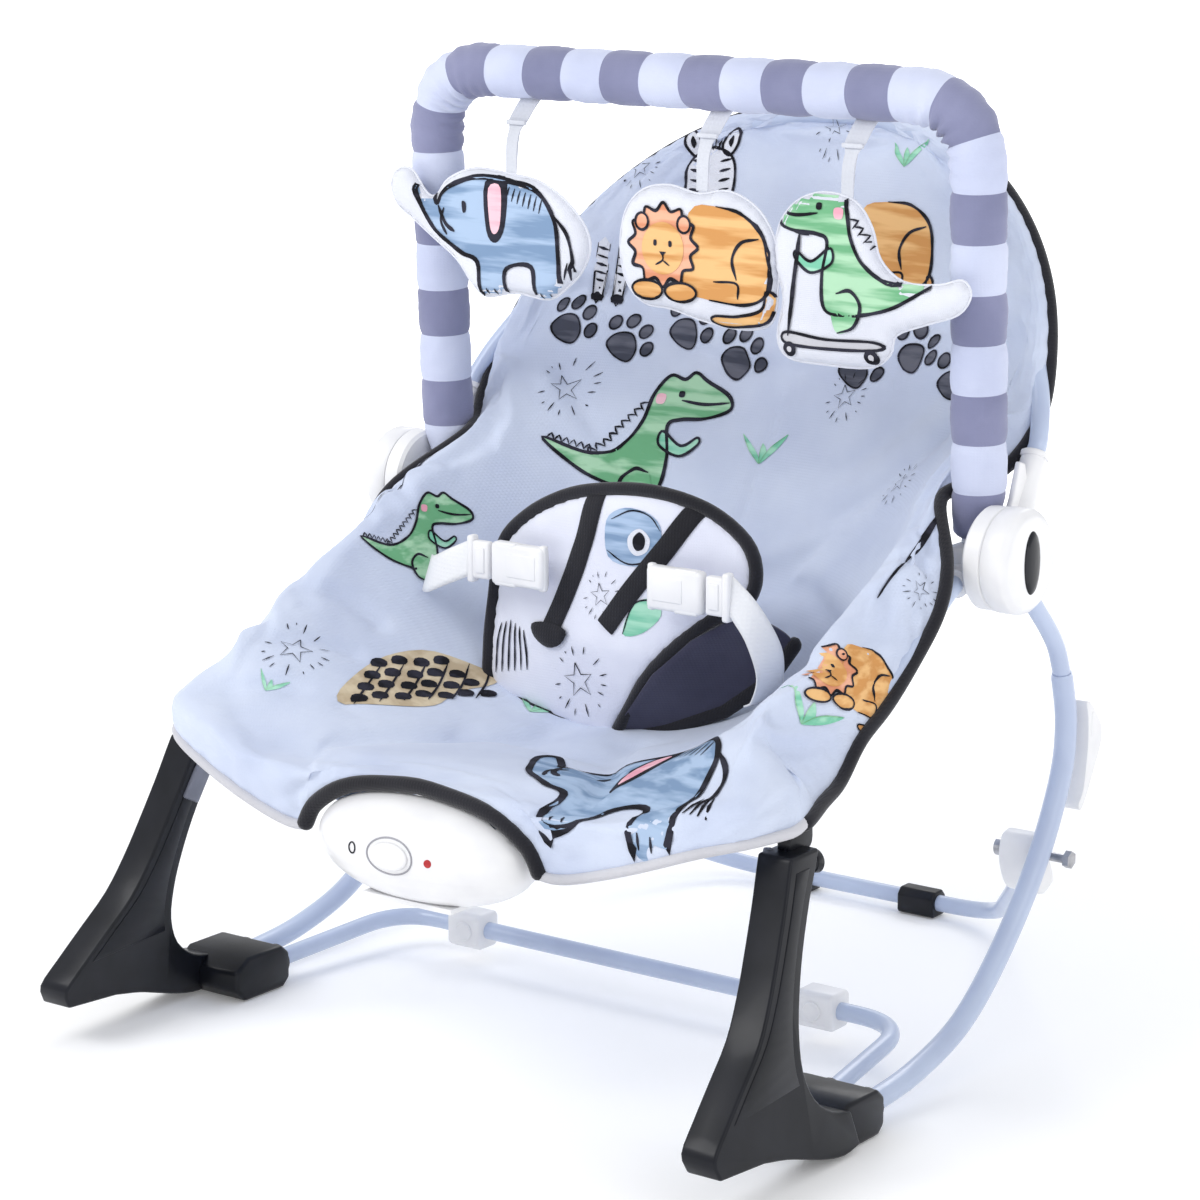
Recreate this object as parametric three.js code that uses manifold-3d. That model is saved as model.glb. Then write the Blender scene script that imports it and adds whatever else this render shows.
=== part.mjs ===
// Baby bouncer seat (rocker): a powder-coated tube frame on two black moulded legs, a reclining
// padded seat on hubs, a striped toy bar, a harness and a soothing unit under the seat front.
// Millimetres. +X is the sitter's left, -Y the front, +Z up, z = 0 is the floor.
import * as THREE from "three";
import { mergeVertices } from "three/addons/utils/BufferGeometryUtils.js";
import Module from "manifold-3d";

const wasm = await Module();
wasm.setup();

// ---------------------------------------------------------------- driving dimensions
const PLAN_SHIFT_Y = 54.5;             // brings the outline's middle to y = 0
const GAP = 0.4;                       // clearance between touching pieces
const TUBE_R = 5.6;                    // crossbar, kickstand and upper rails
const RAIL_R = 6.8;                    // lower rails, which sleeve over the upper ones
const FRAME_R = 5.8;                   // seat and backrest frame tubes
const LEG_WIDTH = 23;                  // moulded leg, across
const LEG_OUTER_X = 252;               // outer face of a leg at the toe
const LEG_LEAN = 0.14;                 // how far a leg leans inward per unit of height
const BLOCK = { x0: 198, x1: 250, y0: -208, y1: -157, z1: 28 };
const RAIL_X = 237;
const HUB_RAIL_X = 232.8;              // where the rails end inside the hubs
const CROSSBAR_Y = -46;
const CROSSBAR_Z = 21.5;
const CLAMP_X = 136;
const KICK_PIVOT = { x: 218, y: 52, z: 106 };
const KICK_BAR = { y: 212, z: 9.5, half: 96 };
const HUB = { y: 8, z: 304, r: 32 };
const BAR_X = 202;                     // toy bar legs
const BAR_TOP_Z = 575;
const BAR_Y = 5;
const BAR_LEAN = 0.047;                // how far the toy bar legs run back per unit of drop
const SLEEVE_R = 17.5;
const ARCH_R = 199;                    // backrest frame arch
const ARCH_TILT = THREE.MathUtils.degToRad(59);
const ARCH_CENTRE = { y: 72, z: 372 };
const UNIT = { y: -260, z: 152, rx: 77, ry: 37, rz: 33 };
const HARNESS = { y: -74, z: 184, half: 88, height: 142 };

// ---------------------------------------------------------------- small tools
const V = (x, y, z) => new THREE.Vector3(x, y, z);

function finish(color, roughness, metalness = 0) {
  return new THREE.MeshStandardMaterial({ color, roughness, metalness });
}

const looks = {
  black: () => finish(0x17181e, 0.25),
  white: () => finish(0xf2f2f4, 0.45),
  tube: () => finish(0xb9c6de, 0.35, 0.2),
  grey: () => finish(0x8a8d99, 0.4),
  steel: () => finish(0x9a9ca0, 0.3, 1),
  fabric: () => finish(0xcfd8ee, 0.9),
  stripe: () => finish(0x9a9bbb, 0.9),
  web: () => finish(0xf0f0f2, 0.8),
  plushBlue: () => finish(0x8fa6c9, 0.95),
  plushTan: () => finish(0xe0a267, 0.95),
  plushGreen: () => finish(0x8fc79a, 0.95),
};

// The pieces are laid out from the seat's mid-length; the group then centres the plan on the origin.
const root = new THREE.Group();
const layout = new THREE.Group();
layout.position.set(0, PLAN_SHIFT_Y, 0);
root.add(layout);

function add(name, geometry, material, parent = layout) {
  const mesh = new THREE.Mesh(geometry, material);
  mesh.name = name;
  parent.add(mesh);
  return mesh;
}

function plain(geometry) {
  const g = geometry.clone();
  g.deleteAttribute("normal");
  g.deleteAttribute("uv");
  return mergeVertices(g, 1e-3);
}

function solid(geometry) {
  const g = plain(geometry);
  return new wasm.Manifold(new wasm.Mesh({
    numProp: 3,
    vertProperties: new Float32Array(g.attributes.position.array),
    triVerts: new Uint32Array(g.index.array),
  }));
}

function toGeometry(manifold) {
  const mesh = manifold.getMesh();
  const g = new THREE.BufferGeometry();
  g.setAttribute("position", new THREE.BufferAttribute(mesh.vertProperties, 3));
  g.setIndex(new THREE.BufferAttribute(mesh.triVerts, 1));
  g.computeVertexNormals();
  return g;
}

// a curve through straight runs with rounded corners
function bentPath(points, radius) {
  const path = new THREE.CurvePath();
  let from = points[0];
  for (let i = 1; i < points.length - 1; i += 1) {
    const p = points[i];
    const back = from.clone().sub(p);
    const ahead = points[i + 1].clone().sub(p);
    const cut = Math.min(radius, back.length() * 0.9, ahead.length() * 0.45);
    const a = p.clone().add(back.setLength(cut));
    const b = p.clone().add(ahead.setLength(cut));
    path.add(new THREE.LineCurve3(from, a));
    path.add(new THREE.QuadraticBezierCurve3(a, p, b));
    from = b;
  }
  path.add(new THREE.LineCurve3(from, points[points.length - 1]));
  return path;
}

function smoothPath(points) {
  return new THREE.CatmullRomCurve3(points, false, "centripetal");
}

function circle(r, sides) {
  const shape = new THREE.Shape();
  for (let i = 0; i < sides; i += 1) {
    const a = (i / sides) * Math.PI * 2;
    if (i === 0) shape.moveTo(r * Math.cos(a), r * Math.sin(a));
    else shape.lineTo(r * Math.cos(a), r * Math.sin(a));
  }
  shape.closePath();
  return shape;
}

function tube(path, r, steps, sides = 8) {
  return new THREE.ExtrudeGeometry(circle(r, sides), { steps, extrudePath: path, bevelEnabled: false });
}

function rodBetween(a, b, r, sides = 14) {
  const g = new THREE.CylinderGeometry(r, r, a.distanceTo(b), sides);
  const turn = new THREE.Quaternion().setFromUnitVectors(V(0, 1, 0), b.clone().sub(a).normalize());
  g.applyQuaternion(turn);
  g.translate((a.x + b.x) / 2, (a.y + b.y) / 2, (a.z + b.z) / 2);
  return g;
}

function rodX(x0, x1, y, z, r, sides = 20) {
  return rodBetween(V(x0, y, z), V(x1, y, z), r, sides);
}

function box(x0, x1, y0, y1, z0, z1) {
  const g = new THREE.BoxGeometry(x1 - x0, y1 - y0, z1 - z0);
  g.translate((x0 + x1) / 2, (y0 + y1) / 2, (z0 + z1) / 2);
  return g;
}

function mirrored(geometry) {
  const g = geometry.index ? geometry.toNonIndexed() : geometry.clone();
  g.scale(-1, 1, 1);
  const p = g.attributes.position;
  for (let i = 0; i < p.count; i += 3) {
    const x = p.getX(i);
    const y = p.getY(i);
    const z = p.getZ(i);
    p.setXYZ(i, p.getX(i + 1), p.getY(i + 1), p.getZ(i + 1));
    p.setXYZ(i + 1, x, y, z);
  }
  g.computeVertexNormals();
  return g;
}

// adds a piece on the +X side and its mirror image on the -X side
function pair(name, geometry, material) {
  add(`${name}_left`, geometry, material());
  add(`${name}_right`, mirrored(geometry), material());
}

// an outline in the Y-Z plane, extruded along X from x0 to x1 with a small bevel
function plateYZ(points, x0, x1, bevel) {
  const shape = new THREE.Shape(points.map(([y, z]) => new THREE.Vector2(y, z)));
  const g = new THREE.ExtrudeGeometry(shape, {
    depth: x1 - x0 - 2 * bevel,
    bevelEnabled: bevel > 0,
    bevelThickness: bevel,
    bevelSize: bevel,
    bevelOffset: -bevel,
    bevelSegments: 1,
  });
  g.applyMatrix4(new THREE.Matrix4().makeBasis(V(0, 1, 0), V(0, 0, 1), V(1, 0, 0)));
  g.translate(x0 + bevel, 0, 0);
  return g;
}

// an outline in the X-Z plane, extruded along Y from y0 to y1
function plateXZ(points, y0, y1, bevel) {
  const shape = new THREE.Shape(points.map(([x, z]) => new THREE.Vector2(x, z)));
  const g = new THREE.ExtrudeGeometry(shape, {
    depth: y1 - y0 - 2 * bevel,
    bevelEnabled: bevel > 0,
    bevelThickness: bevel,
    bevelSize: bevel,
    bevelOffset: -bevel,
    bevelSegments: 1,
  });
  g.applyMatrix4(new THREE.Matrix4().makeBasis(V(1, 0, 0), V(0, 0, 1), V(0, -1, 0)));
  g.translate(0, y1 - bevel, 0);
  return g;
}

// ---------------------------------------------------------------- legs
const legProfile = [
  [-326, 24], [-330, 36], [-316, 50], [-298, 66], [-278, 84], [-264, 104], [-252, 126],
  [-240, 150], [-232, 168], [-228, 176.5], [-200, 176.5], [-204, 168], [-214, 150], [-226, 124],
  [-234, 100], [-238, 80], [-238, 60], [-230, 42], [-214, 30], [-196, 25], [-190, 4],
  [-206, 2], [-224, 5], [-244, 11], [-262, 16.5], [-284, 21],
];

const railPath = smoothPath([
  V(RAIL_X, -176, 13), V(RAIL_X, -150, 13.5), V(RAIL_X, -102, 18.5), V(RAIL_X, -51, 34),
  V(RAIL_X, -6, 67), V(RAIL_X, 36, 113), V(RAIL_X, 62, 160), V(RAIL_X, 67, 194),
  V(RAIL_X, 60, 226),
]);
const upperRailPath = smoothPath([
  V(RAIL_X, 59.6, 227.5), V(RAIL_X - 0.3, 53, 243), V(RAIL_X - 1.2, 43, 257), V(RAIL_X - 2.7, 32, 270),
  V(HUB_RAIL_X, 21, 283),
]);

const barEnd = V(213, -176, 12.8);
const barCorner = V(196, CROSSBAR_Y, CROSSBAR_Z);

function legGeometry() {
  const column = plateYZ(legProfile, LEG_OUTER_X - LEG_WIDTH, LEG_OUTER_X, 2.5);
  const lean = new THREE.Matrix4().set(
    1, 0, -LEG_LEAN, 24 * LEG_LEAN,
    0, 1, 0, 0,
    0, 0, 1, 0,
    0, 0, 0, 1,
  );
  column.applyMatrix4(lean);
  const { x0, x1, y0, y1, z1 } = BLOCK;
  const block = plateYZ([
    [y0, 8], [y0 + 8, 0], [y1 - 6, 0], [y1, 5], [y1, z1 - 6], [y1 - 7, z1], [y0 + 12, z1], [y0, 20],
  ], x0, x1, 2);
  const topLug = plateYZ([
    [-217, 176], [-194, 176], [-191, 190], [-196, 199], [-204, 202], [-213, 199], [-217, 190],
  ], 212.6, 222.6, 1.5);
  let body = solid(column).add(solid(block)).add(solid(topLug));
  const railSocket = rodBetween(V(RAIL_X, -178, 12.8), V(RAIL_X, -140, 14.2), RAIL_R + 0.9, 16);
  const barWay = barCorner.clone().sub(barEnd).normalize();
  const barSocket = rodBetween(
    barEnd.clone().addScaledVector(barWay, -2), barEnd.clone().addScaledVector(barWay, 40), TUBE_R + GAP, 16);
  body = body.subtract(solid(railSocket)).subtract(solid(barSocket));
  // recesses for the side screws and the grey insert
  body = body.subtract(solid(rodX(x0 - 1, x0 + 3.2, -192, 16, 4.4, 16)));
  body = body.subtract(solid(rodX(x0 - 1, x0 + 3.2, -172, 22, 3, 12)));
  body = body.subtract(solid(insertGeometry(0.4)));
  return toGeometry(body);
}

function insertGeometry(grow) {
  const g = box(-3 - grow, 3 + grow, -7.5 - grow, 7.5 + grow, -21 - grow, 21 + grow);
  g.rotateX(THREE.MathUtils.degToRad(-27));
  g.rotateY(THREE.MathUtils.degToRad(-8));
  g.translate(211.2, -222, 156);
  return g;
}

pair("leg", legGeometry(), looks.black);
pair("leg_insert", insertGeometry(0), looks.grey);
pair("leg_knob", rodBetween(V(221, -200.6, 167.5), V(223, -190.2, 165.5), 7, 16), looks.black);
pair("leg_screw", rodX(198.2, 200.8, -192, 16, 4, 16), looks.steel);

// ---------------------------------------------------------------- floor frame and rails
const crossbarPath = bentPath([
  barEnd, barCorner, V(-barCorner.x, barCorner.y, barCorner.z), V(-barEnd.x, barEnd.y, barEnd.z),
], 34);
add("crossbar", tube(crossbarPath, TUBE_R, 36), looks.tube());

function clampGeometry() {
  const y = CROSSBAR_Y;
  const z = CROSSBAR_Z;
  const shell = plateYZ([
    [y - 11, z - 9], [y - 8, z - 12], [y + 8, z - 12], [y + 11, z - 9],
    [y + 11, z + 9], [y + 8, z + 12], [y - 8, z + 12], [y - 11, z + 9],
  ], CLAMP_X - 13, CLAMP_X + 13, 1);
  const bore = rodX(CLAMP_X - 20, CLAMP_X + 20, y, z, TUBE_R + 0.5, 20);
  const screw = rodBetween(V(CLAMP_X - 1, y - 14, z), V(CLAMP_X - 1, y - 9.2, z), 4.4, 16);
  return toGeometry(solid(shell).subtract(solid(bore)).subtract(solid(screw)));
}

pair("clamp", clampGeometry(), looks.white);
pair("clamp_screw", rodBetween(
  V(CLAMP_X - 1, CROSSBAR_Y - 11.6, CROSSBAR_Z),
  V(CLAMP_X - 1, CROSSBAR_Y - 9.5, CROSSBAR_Z), 4, 16), looks.steel);

pair("rail_lower", tube(railPath, RAIL_R, 20), looks.tube);
pair("rail_upper", tube(upperRailPath, TUBE_R, 8), looks.tube);

// a white bumper behind each rail
function bumperGeometry() {
  const body = plateYZ([
    [70, 142], [75.5, 150], [78.6, 166], [80, 182], [79, 196], [77, 205],
    [86, 200], [96, 188], [97, 180], [88, 162], [80, 146], [73, 138],
  ], RAIL_X - 9, RAIL_X + 9, 1.5);
  const tab = box(RAIL_X - 3, RAIL_X + 3, 85, 103, 168, 173);
  return toGeometry(solid(body).add(solid(tab)));
}
pair("rail_bumper", bumperGeometry(), looks.white);

// ---------------------------------------------------------------- kickstand
const pivot = KICK_PIVOT;
const kickPath = bentPath([
  V(pivot.x - 1, pivot.y + 6, pivot.z - 9), V(KICK_BAR.half + 14, KICK_BAR.y, KICK_BAR.z),
  V(-KICK_BAR.half - 14, KICK_BAR.y, KICK_BAR.z), V(-pivot.x + 1, pivot.y + 6, pivot.z - 9),
], 40);
add("kickstand_tube", tube(kickPath, TUBE_R, 32), looks.tube());

function kickEndGeometry() {
  const { x, y, z } = pivot;
  const shell = plateYZ([
    [y - 9, z + 4], [y - 6, z + 15], [y + 6, z + 17], [y + 12, z + 6],
    [y + 20, z - 14], [y + 8, z - 22], [y - 4, z - 12],
  ], x - 13, x + 11.4, 1.5);
  const a = V(x - 1, y + 6, z - 9);
  const b = V(KICK_BAR.half + 14, KICK_BAR.y, KICK_BAR.z);
  const way = b.clone().sub(a).normalize();
  const bore = rodBetween(a.clone().addScaledVector(way, -1), a.clone().addScaledVector(way, 60), TUBE_R + GAP, 16);
  const pin = rodX(x - 20, x + 20, y, z + 6, 3.4, 14);
  return toGeometry(solid(shell).subtract(solid(bore)).subtract(solid(pin)));
}
pair("kickstand_end", kickEndGeometry(), looks.white);

function boltGeometry() {
  const { x, y, z } = pivot;
  const shank = rodX(x - 16, x + 33, y, z + 6, 2.9, 14);
  const nut = rodX(x + 30, x + 34, y, z + 6, 5.5, 6);
  const head = rodX(x - 18, x - 14, y, z + 6, 5.5, 16);
  return toGeometry(solid(shank).add(solid(nut)).add(solid(head)));
}
pair("kickstand_bolt", boltGeometry(), looks.steel);

function footGeometry() {
  const x = KICK_BAR.half - 46;
  const shell = plateYZ([
    [KICK_BAR.y - 9, 2], [KICK_BAR.y - 7, 0], [KICK_BAR.y + 7, 0], [KICK_BAR.y + 9, 2],
    [KICK_BAR.y + 9, KICK_BAR.z + 4], [KICK_BAR.y + 5, KICK_BAR.z + 8.5],
    [KICK_BAR.y - 5, KICK_BAR.z + 8.5], [KICK_BAR.y - 9, KICK_BAR.z + 4],
  ], x - 14, x + 14, 0);
  const bore = rodX(x - 20, x + 20, KICK_BAR.y, KICK_BAR.z, TUBE_R + GAP, 16);
  return toGeometry(solid(shell).subtract(solid(bore)));
}
pair("kickstand_foot", footGeometry(), looks.black);

// ---------------------------------------------------------------- hubs
const seatFrameSide = [
  V(204, 2, 294), V(205, -12, 292), V(208, -38, 282), V(210.5, -72, 262), V(209, -118, 232),
  V(208, -154, 207), V(206, -188, 193), V(200, -217, 186),
];

function hubOuterGeometry() {
  const { y, z, r } = HUB;
  let body = solid(rodX(225.8, 241, y, z, r, 32)).add(solid(rodX(241, 243.4, y, z, r - 3, 32)));
  const railHole = rodBetween(V(HUB_RAIL_X - 0.3, 18.4, 286.1), V(HUB_RAIL_X + 3.2, 44, 256), TUBE_R + GAP, 16);
  const buttonHole = rodX(238.6, 250, y, z, 1, 24);
  buttonHole.translate(0, -y, -z);
  buttonHole.scale(1, 9.5, 20);
  buttonHole.translate(0, y, z);
  const pinHole = rodX(220, 232, y, z, 6.4, 20);
  body = body.subtract(solid(railHole)).subtract(solid(buttonHole)).subtract(solid(pinHole));
  return toGeometry(body);
}
pair("hub_outer", hubOuterGeometry(), looks.white);

function hubButtonGeometry() {
  const g = rodX(241.8, 245.8, 0, 0, 1, 24);
  g.scale(1, 9, 19.5);
  g.translate(0, HUB.y, HUB.z);
  return g;
}
pair("hub_button", hubButtonGeometry(), looks.black);

// the rotating half of each hub, with the stalk that takes the backrest frame
const stalkFoot = V(216.8, 36, 318);
const stalkTop = V(215, 60, 360);
function hubInnerGeometry() {
  const { y, z, r } = HUB;
  const drum = solid(rodX(213, 225.4, y, z, r - 0.5, 32));
  const pin = solid(rodX(224, 231.4, y, z, 6, 20));
  const stalk = solid(rodBetween(stalkFoot, stalkTop, 8.4, 18));
  const way = stalkTop.clone().sub(stalkFoot).normalize();
  const bore = solid(rodBetween(
    stalkTop.clone().addScaledVector(way, -22), stalkTop.clone().addScaledVector(way, 4), FRAME_R + 0.7, 16));
  const seat = solid(rodX(212, 219, y, z, 5.5, 20));
  return toGeometry(drum.add(pin).add(stalk).subtract(bore).subtract(seat));
}
pair("hub_inner", hubInnerGeometry(), looks.white);

// ---------------------------------------------------------------- seat and backrest frames
const seatFramePath = smoothPath([
  ...seatFrameSide, V(187, -239, 180), V(150, -250, 173.5), V(80, -254, 172), V(0, -255, 172),
  V(-80, -254, 172), V(-150, -250, 173.5), V(-187, -239, 180),
  ...seatFrameSide.map((p) => V(-p.x, p.y, p.z)).reverse(),
]);
add("seat_frame", tube(seatFramePath, FRAME_R, 48), looks.tube());

function archPoint(angle) {
  return V(
    ARCH_R * Math.cos(angle),
    ARCH_CENTRE.y + ARCH_R * Math.sin(angle) * Math.cos(ARCH_TILT),
    ARCH_CENTRE.z + ARCH_R * Math.sin(angle) * Math.sin(ARCH_TILT),
  );
}

const stalkWay = stalkTop.clone().sub(stalkFoot).normalize();
const backPoints = [-20, -10, 0, 8].map((d) => stalkTop.clone().addScaledVector(stalkWay, d));
backPoints.push(V(208, 77, 386));
for (let i = 1; i <= 11; i += 1) backPoints.push(archPoint((i / 12) * Math.PI));
for (let i = 4; i >= 0; i -= 1) backPoints.push(V(-backPoints[i].x, backPoints[i].y, backPoints[i].z));
add("back_frame", tube(smoothPath(backPoints), FRAME_R, 44), looks.tube());

// ---------------------------------------------------------------- padded seat and backrest
// centre line (y, z) and edge line (x, y, z) of the seat surface, from the front to the back
const seatRows = [
  { c: [-262, 190], e: [150, -236, 191] },
  { c: [-240, 188], e: [184, -212, 199] },
  { c: [-195, 184], e: [196, -170, 211] },
  { c: [-145, 180], e: [199, -125, 229] },
  { c: [-95, 178], e: [200, -84, 252] },
  { c: [-52, 180], e: [201, -50, 275] },
];
const backRows = [
  { c: [2, 208], e: [180, 16, 330] },
  { c: [26, 236], e: [180, 38, 352] },
  { c: [58, 276], e: [182, 64, 382] },
  { c: [92, 326], e: [181, 92, 416] },
  { c: [122, 392], e: [154, 122, 462] },
  { c: [147, 460], e: [112, 146, 500] },
  { c: [162, 512], e: [52, 162, 522] },
];

function rowAt(rows, t) {
  const s = t * (rows.length - 1);
  const i = Math.min(Math.floor(s), rows.length - 2);
  const f = s - i;
  const mix = (a, b) => a + (b - a) * f;
  return {
    c: rows[i].c.map((v, k) => mix(v, rows[i + 1].c[k])),
    e: rows[i].e.map((v, k) => mix(v, rows[i + 1].e[k])),
  };
}

// a slab of even thickness that follows the rows: a box whose grid is laid on the surface
function padGeometry(rows, thickness, power) {
  const g = new THREE.BoxGeometry(2, 1, 1, 12, rows.length * 2 - 2, 1);
  g.translate(0, 0.5, 0);
  const p = g.attributes.position;
  for (let i = 0; i < p.count; i += 1) {
    const u = p.getX(i);
    const t = p.getY(i);
    const under = p.getZ(i) < 0 ? 1 : 0;
    const row = rowAt(rows, t);
    const near = rowAt(rows, Math.max(0, t - 0.02));
    const far = rowAt(rows, Math.min(1, t + 0.02));
    const along = V(0, far.c[0] - near.c[0], far.c[1] - near.c[1]).normalize();
    const w = Math.pow(Math.abs(u), power);
    const y = row.c[0] + (row.e[1] - row.c[0]) * w;
    const z = row.c[1] + (row.e[2] - row.c[1]) * w;
    p.setXYZ(i, u * row.e[0], y + along.z * thickness * under, z - along.y * thickness * under);
  }
  return plain(g);
}
add("seat_pad", padGeometry(seatRows, 8, 2.6), looks.fabric());
add("back_pad", padGeometry(backRows, 9, 2.4), looks.fabric());

// ---------------------------------------------------------------- soothing unit under the seat
function unitGeometry() {
  const shell = new THREE.SphereGeometry(1, 32, 16);
  shell.rotateX(Math.PI / 2);
  shell.scale(UNIT.rx, UNIT.ry, UNIT.rz);
  shell.translate(0, UNIT.y, UNIT.z);
  let body = solid(shell);
  body = body.subtract(solid(box(-100, 100, -266, -200, 165.4, 200)));
  body = body.subtract(solid(box(-34, 34, -282, -242, 100, 124.5)));
  const recess = new THREE.CylinderGeometry(9.5, 9.5, 6, 20);
  recess.scale(1.75, 1, 1);
  recess.translate(0, UNIT.y - UNIT.ry + 1.2, UNIT.z + 2);
  return toGeometry(body.subtract(solid(recess)));
}
add("unit_housing", unitGeometry(), looks.white());

const switchKnob = new THREE.CylinderGeometry(7.4, 7.4, 3, 20);
switchKnob.scale(1.45, 1, 1);
switchKnob.translate(0, UNIT.y - UNIT.ry + 0.8, UNIT.z + 2);
add("unit_switch", switchKnob, looks.white());
add("battery_door", box(-33, 33, -281.2, -242.8, 121, 124), looks.white());

// ---------------------------------------------------------------- toy bar
function barLeg(side, z) {
  return V(side * BAR_X, BAR_Y + BAR_LEAN * (BAR_TOP_Z - z), z);
}

function barPath(bottom) {
  return bentPath([barLeg(1, bottom), barLeg(1, BAR_TOP_Z), barLeg(-1, BAR_TOP_Z), barLeg(-1, bottom)], 42);
}
add("toy_bar_tube", tube(barPath(300), 5.5, 34), looks.tube());

const ring = circle(SLEEVE_R, 12);
ring.holes.push(circle(8.6, 6));
add("toy_bar_sleeve", new THREE.ExtrudeGeometry(ring, {
  steps: 32, extrudePath: barPath(338), bevelEnabled: false,
}), looks.stripe());

function socketGeometry() {
  const shell = plateYZ([
    [-6, 284], [25, 284], [28, 300], [27, 322], [-5, 322], [-9, 300],
  ], 190, 212.4, 1.5);
  const boss = rodX(210, 218, HUB.y, HUB.z, 5, 20);
  const bore = rodBetween(barLeg(1, 294), barLeg(1, 334), 6.3, 16);
  const frameBore = rodBetween(V(203.9, 3, 294.1), V(205.2, -16, 291.2), FRAME_R + 0.6, 16);
  return toGeometry(solid(shell).add(solid(boss)).subtract(solid(bore)).subtract(solid(frameBore)));
}
pair("toy_bar_socket", socketGeometry(), looks.white);

// ---------------------------------------------------------------- hanging toys
const toyY = -19;
const strapX = [-122, 24, 128];
const strapNames = ["toy_strap_right", "toy_strap_middle", "toy_strap_left"];
strapX.forEach((x, i) => {
  const g = plateXZ([
    [x - 10, 570], [x + 10, 570], [x + 6, 530], [x + 5, 512], [x - 5, 512], [x - 6, 530],
  ], toyY - 1.5, toyY + 1.5, 0);
  add(strapNames[i], g, looks.web());
});

const elephant = [
  [-218, 506], [-208, 512], [-196, 500], [-186, 484], [-176, 502], [-160, 511], [-140, 508], [-122, 511],
  [-100, 506], [-82, 494], [-64, 478], [-66, 464], [-76, 462], [-84, 444], [-104, 440], [-130, 446],
  [-150, 440], [-160, 456], [-176, 462], [-192, 470], [-204, 486], [-216, 492],
];
const lion = [
  [-30, 500], [-16, 511], [8, 511.5], [26, 509], [44, 511], [64, 498], [76, 474], [75, 452], [66, 440],
  [44, 446], [20, 438], [-8, 440], [-24, 448], [-34, 466], [-36, 484],
];
const crocodile = [
  [88, 500], [102, 511], [128, 511.5], [146, 500], [158, 480], [180, 464], [206, 470], [213, 460],
  [190, 450], [168, 446], [160, 430], [140, 420], [112, 422], [96, 434], [90, 452], [84, 478],
];
add("toy_elephant", plateXZ(elephant, toyY - 6, toyY + 6, 1.5), looks.plushBlue());
add("toy_lion", plateXZ(lion, toyY - 6, toyY + 6, 1.5), looks.plushTan());
add("toy_crocodile", plateXZ(crocodile, toyY - 6, toyY + 6, 1.5), looks.plushGreen());

// ---------------------------------------------------------------- harness
const h = HARNESS;
add("crotch_pad", plateXZ([
  [-52, h.z], [52, h.z], [74, h.z + 24], [84, h.z + 60], [h.half, h.z + 96], [76, h.z + 122],
  [40, h.z + h.height - 5], [0, h.z + h.height], [-40, h.z + h.height - 5], [-76, h.z + 122],
  [-h.half, h.z + 96], [-84, h.z + 60], [-74, h.z + 24],
], h.y - 5, h.y + 5, 1.5), looks.fabric());

function buckleGeometry() {
  return plateXZ([
    [40, h.z + 88], [44, h.z + 84], [76, h.z + 84], [80, h.z + 88],
    [80, h.z + 108], [76, h.z + 112], [44, h.z + 112], [40, h.z + 108],
  ], h.y - 15, h.y - 5.4, 1.5);
}
pair("buckle", buckleGeometry(), looks.white);
pair("buckle_tongue", box(80.6, 100, h.y - 14, h.y - 7, h.z + 87, h.z + 109), looks.white);

const webbing = box(0, 48, -1.2, 1.2, -12, 12);
webbing.rotateY(THREE.MathUtils.degToRad(18));
webbing.rotateZ(THREE.MathUtils.degToRad(14));
webbing.translate(104, h.y - 9.5, h.z + 97);
pair("waist_strap", webbing, looks.web);

export default root;
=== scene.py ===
"""Baby bouncer seat: the looks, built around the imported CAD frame.

Lengths in the tables below are millimetres in the layout of the CAD part; mm() turns them into metres.
"""
import math

import bmesh
import bpy
import numpy as np
from mathutils import Matrix, Vector, geometry, noise
from mathutils.bvhtree import BVHTree
from mathutils.kdtree import KDTree


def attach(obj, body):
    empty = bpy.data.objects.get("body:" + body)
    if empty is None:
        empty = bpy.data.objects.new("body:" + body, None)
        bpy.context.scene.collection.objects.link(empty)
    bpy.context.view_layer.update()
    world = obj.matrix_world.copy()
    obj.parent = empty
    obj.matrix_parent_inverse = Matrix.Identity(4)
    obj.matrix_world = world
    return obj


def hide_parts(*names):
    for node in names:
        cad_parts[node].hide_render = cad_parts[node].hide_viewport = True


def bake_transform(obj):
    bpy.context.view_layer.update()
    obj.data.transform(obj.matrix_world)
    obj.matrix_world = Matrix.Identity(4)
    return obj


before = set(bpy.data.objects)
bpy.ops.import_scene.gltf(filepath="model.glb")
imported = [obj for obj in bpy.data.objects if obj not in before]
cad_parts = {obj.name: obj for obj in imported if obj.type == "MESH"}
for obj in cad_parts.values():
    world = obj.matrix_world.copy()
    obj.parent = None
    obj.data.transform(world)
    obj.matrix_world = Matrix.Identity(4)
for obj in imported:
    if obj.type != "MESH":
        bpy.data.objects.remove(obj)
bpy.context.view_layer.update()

# ------------------------------------------------------------------ driving dimensions
PLAN_SHIFT = 54.5
TUBE_R = 5.6
RAIL_R = 6.8
FRAME_R = 5.8
RAIL_X = 237
HUB_Y, HUB_Z, HUB_R = 8, 304, 32
BAR_X, BAR_Y, BAR_TOP, BAR_LEAN = 202, 5, 575, 0.047
SLEEVE_R = 16.4
STRIPE = 0.0299                # width of one stripe, metres along the bar, counted from its middle
UNIT_Y, UNIT_Z = -260, 152
UNIT_RX, UNIT_RY, UNIT_RZ = 77, 37, 33
UNIT_FULLNESS = 0.94           # below 1 the unit is fuller than an ellipsoid along its length
TOY_Y = -19
TAPE_TOP, TAPE_LOW = 561, 512
HARNESS_Y, HARNESS_Z = -74, 184
BUCKLE_Y, BUCKLE_Z = HARNESS_Y - 20, HARNESS_Z + 98
FLAP_ARCH_X, FLAP_ARCH_Z, FLAP_ARCH_RISE = 87, 148, 42
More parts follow.
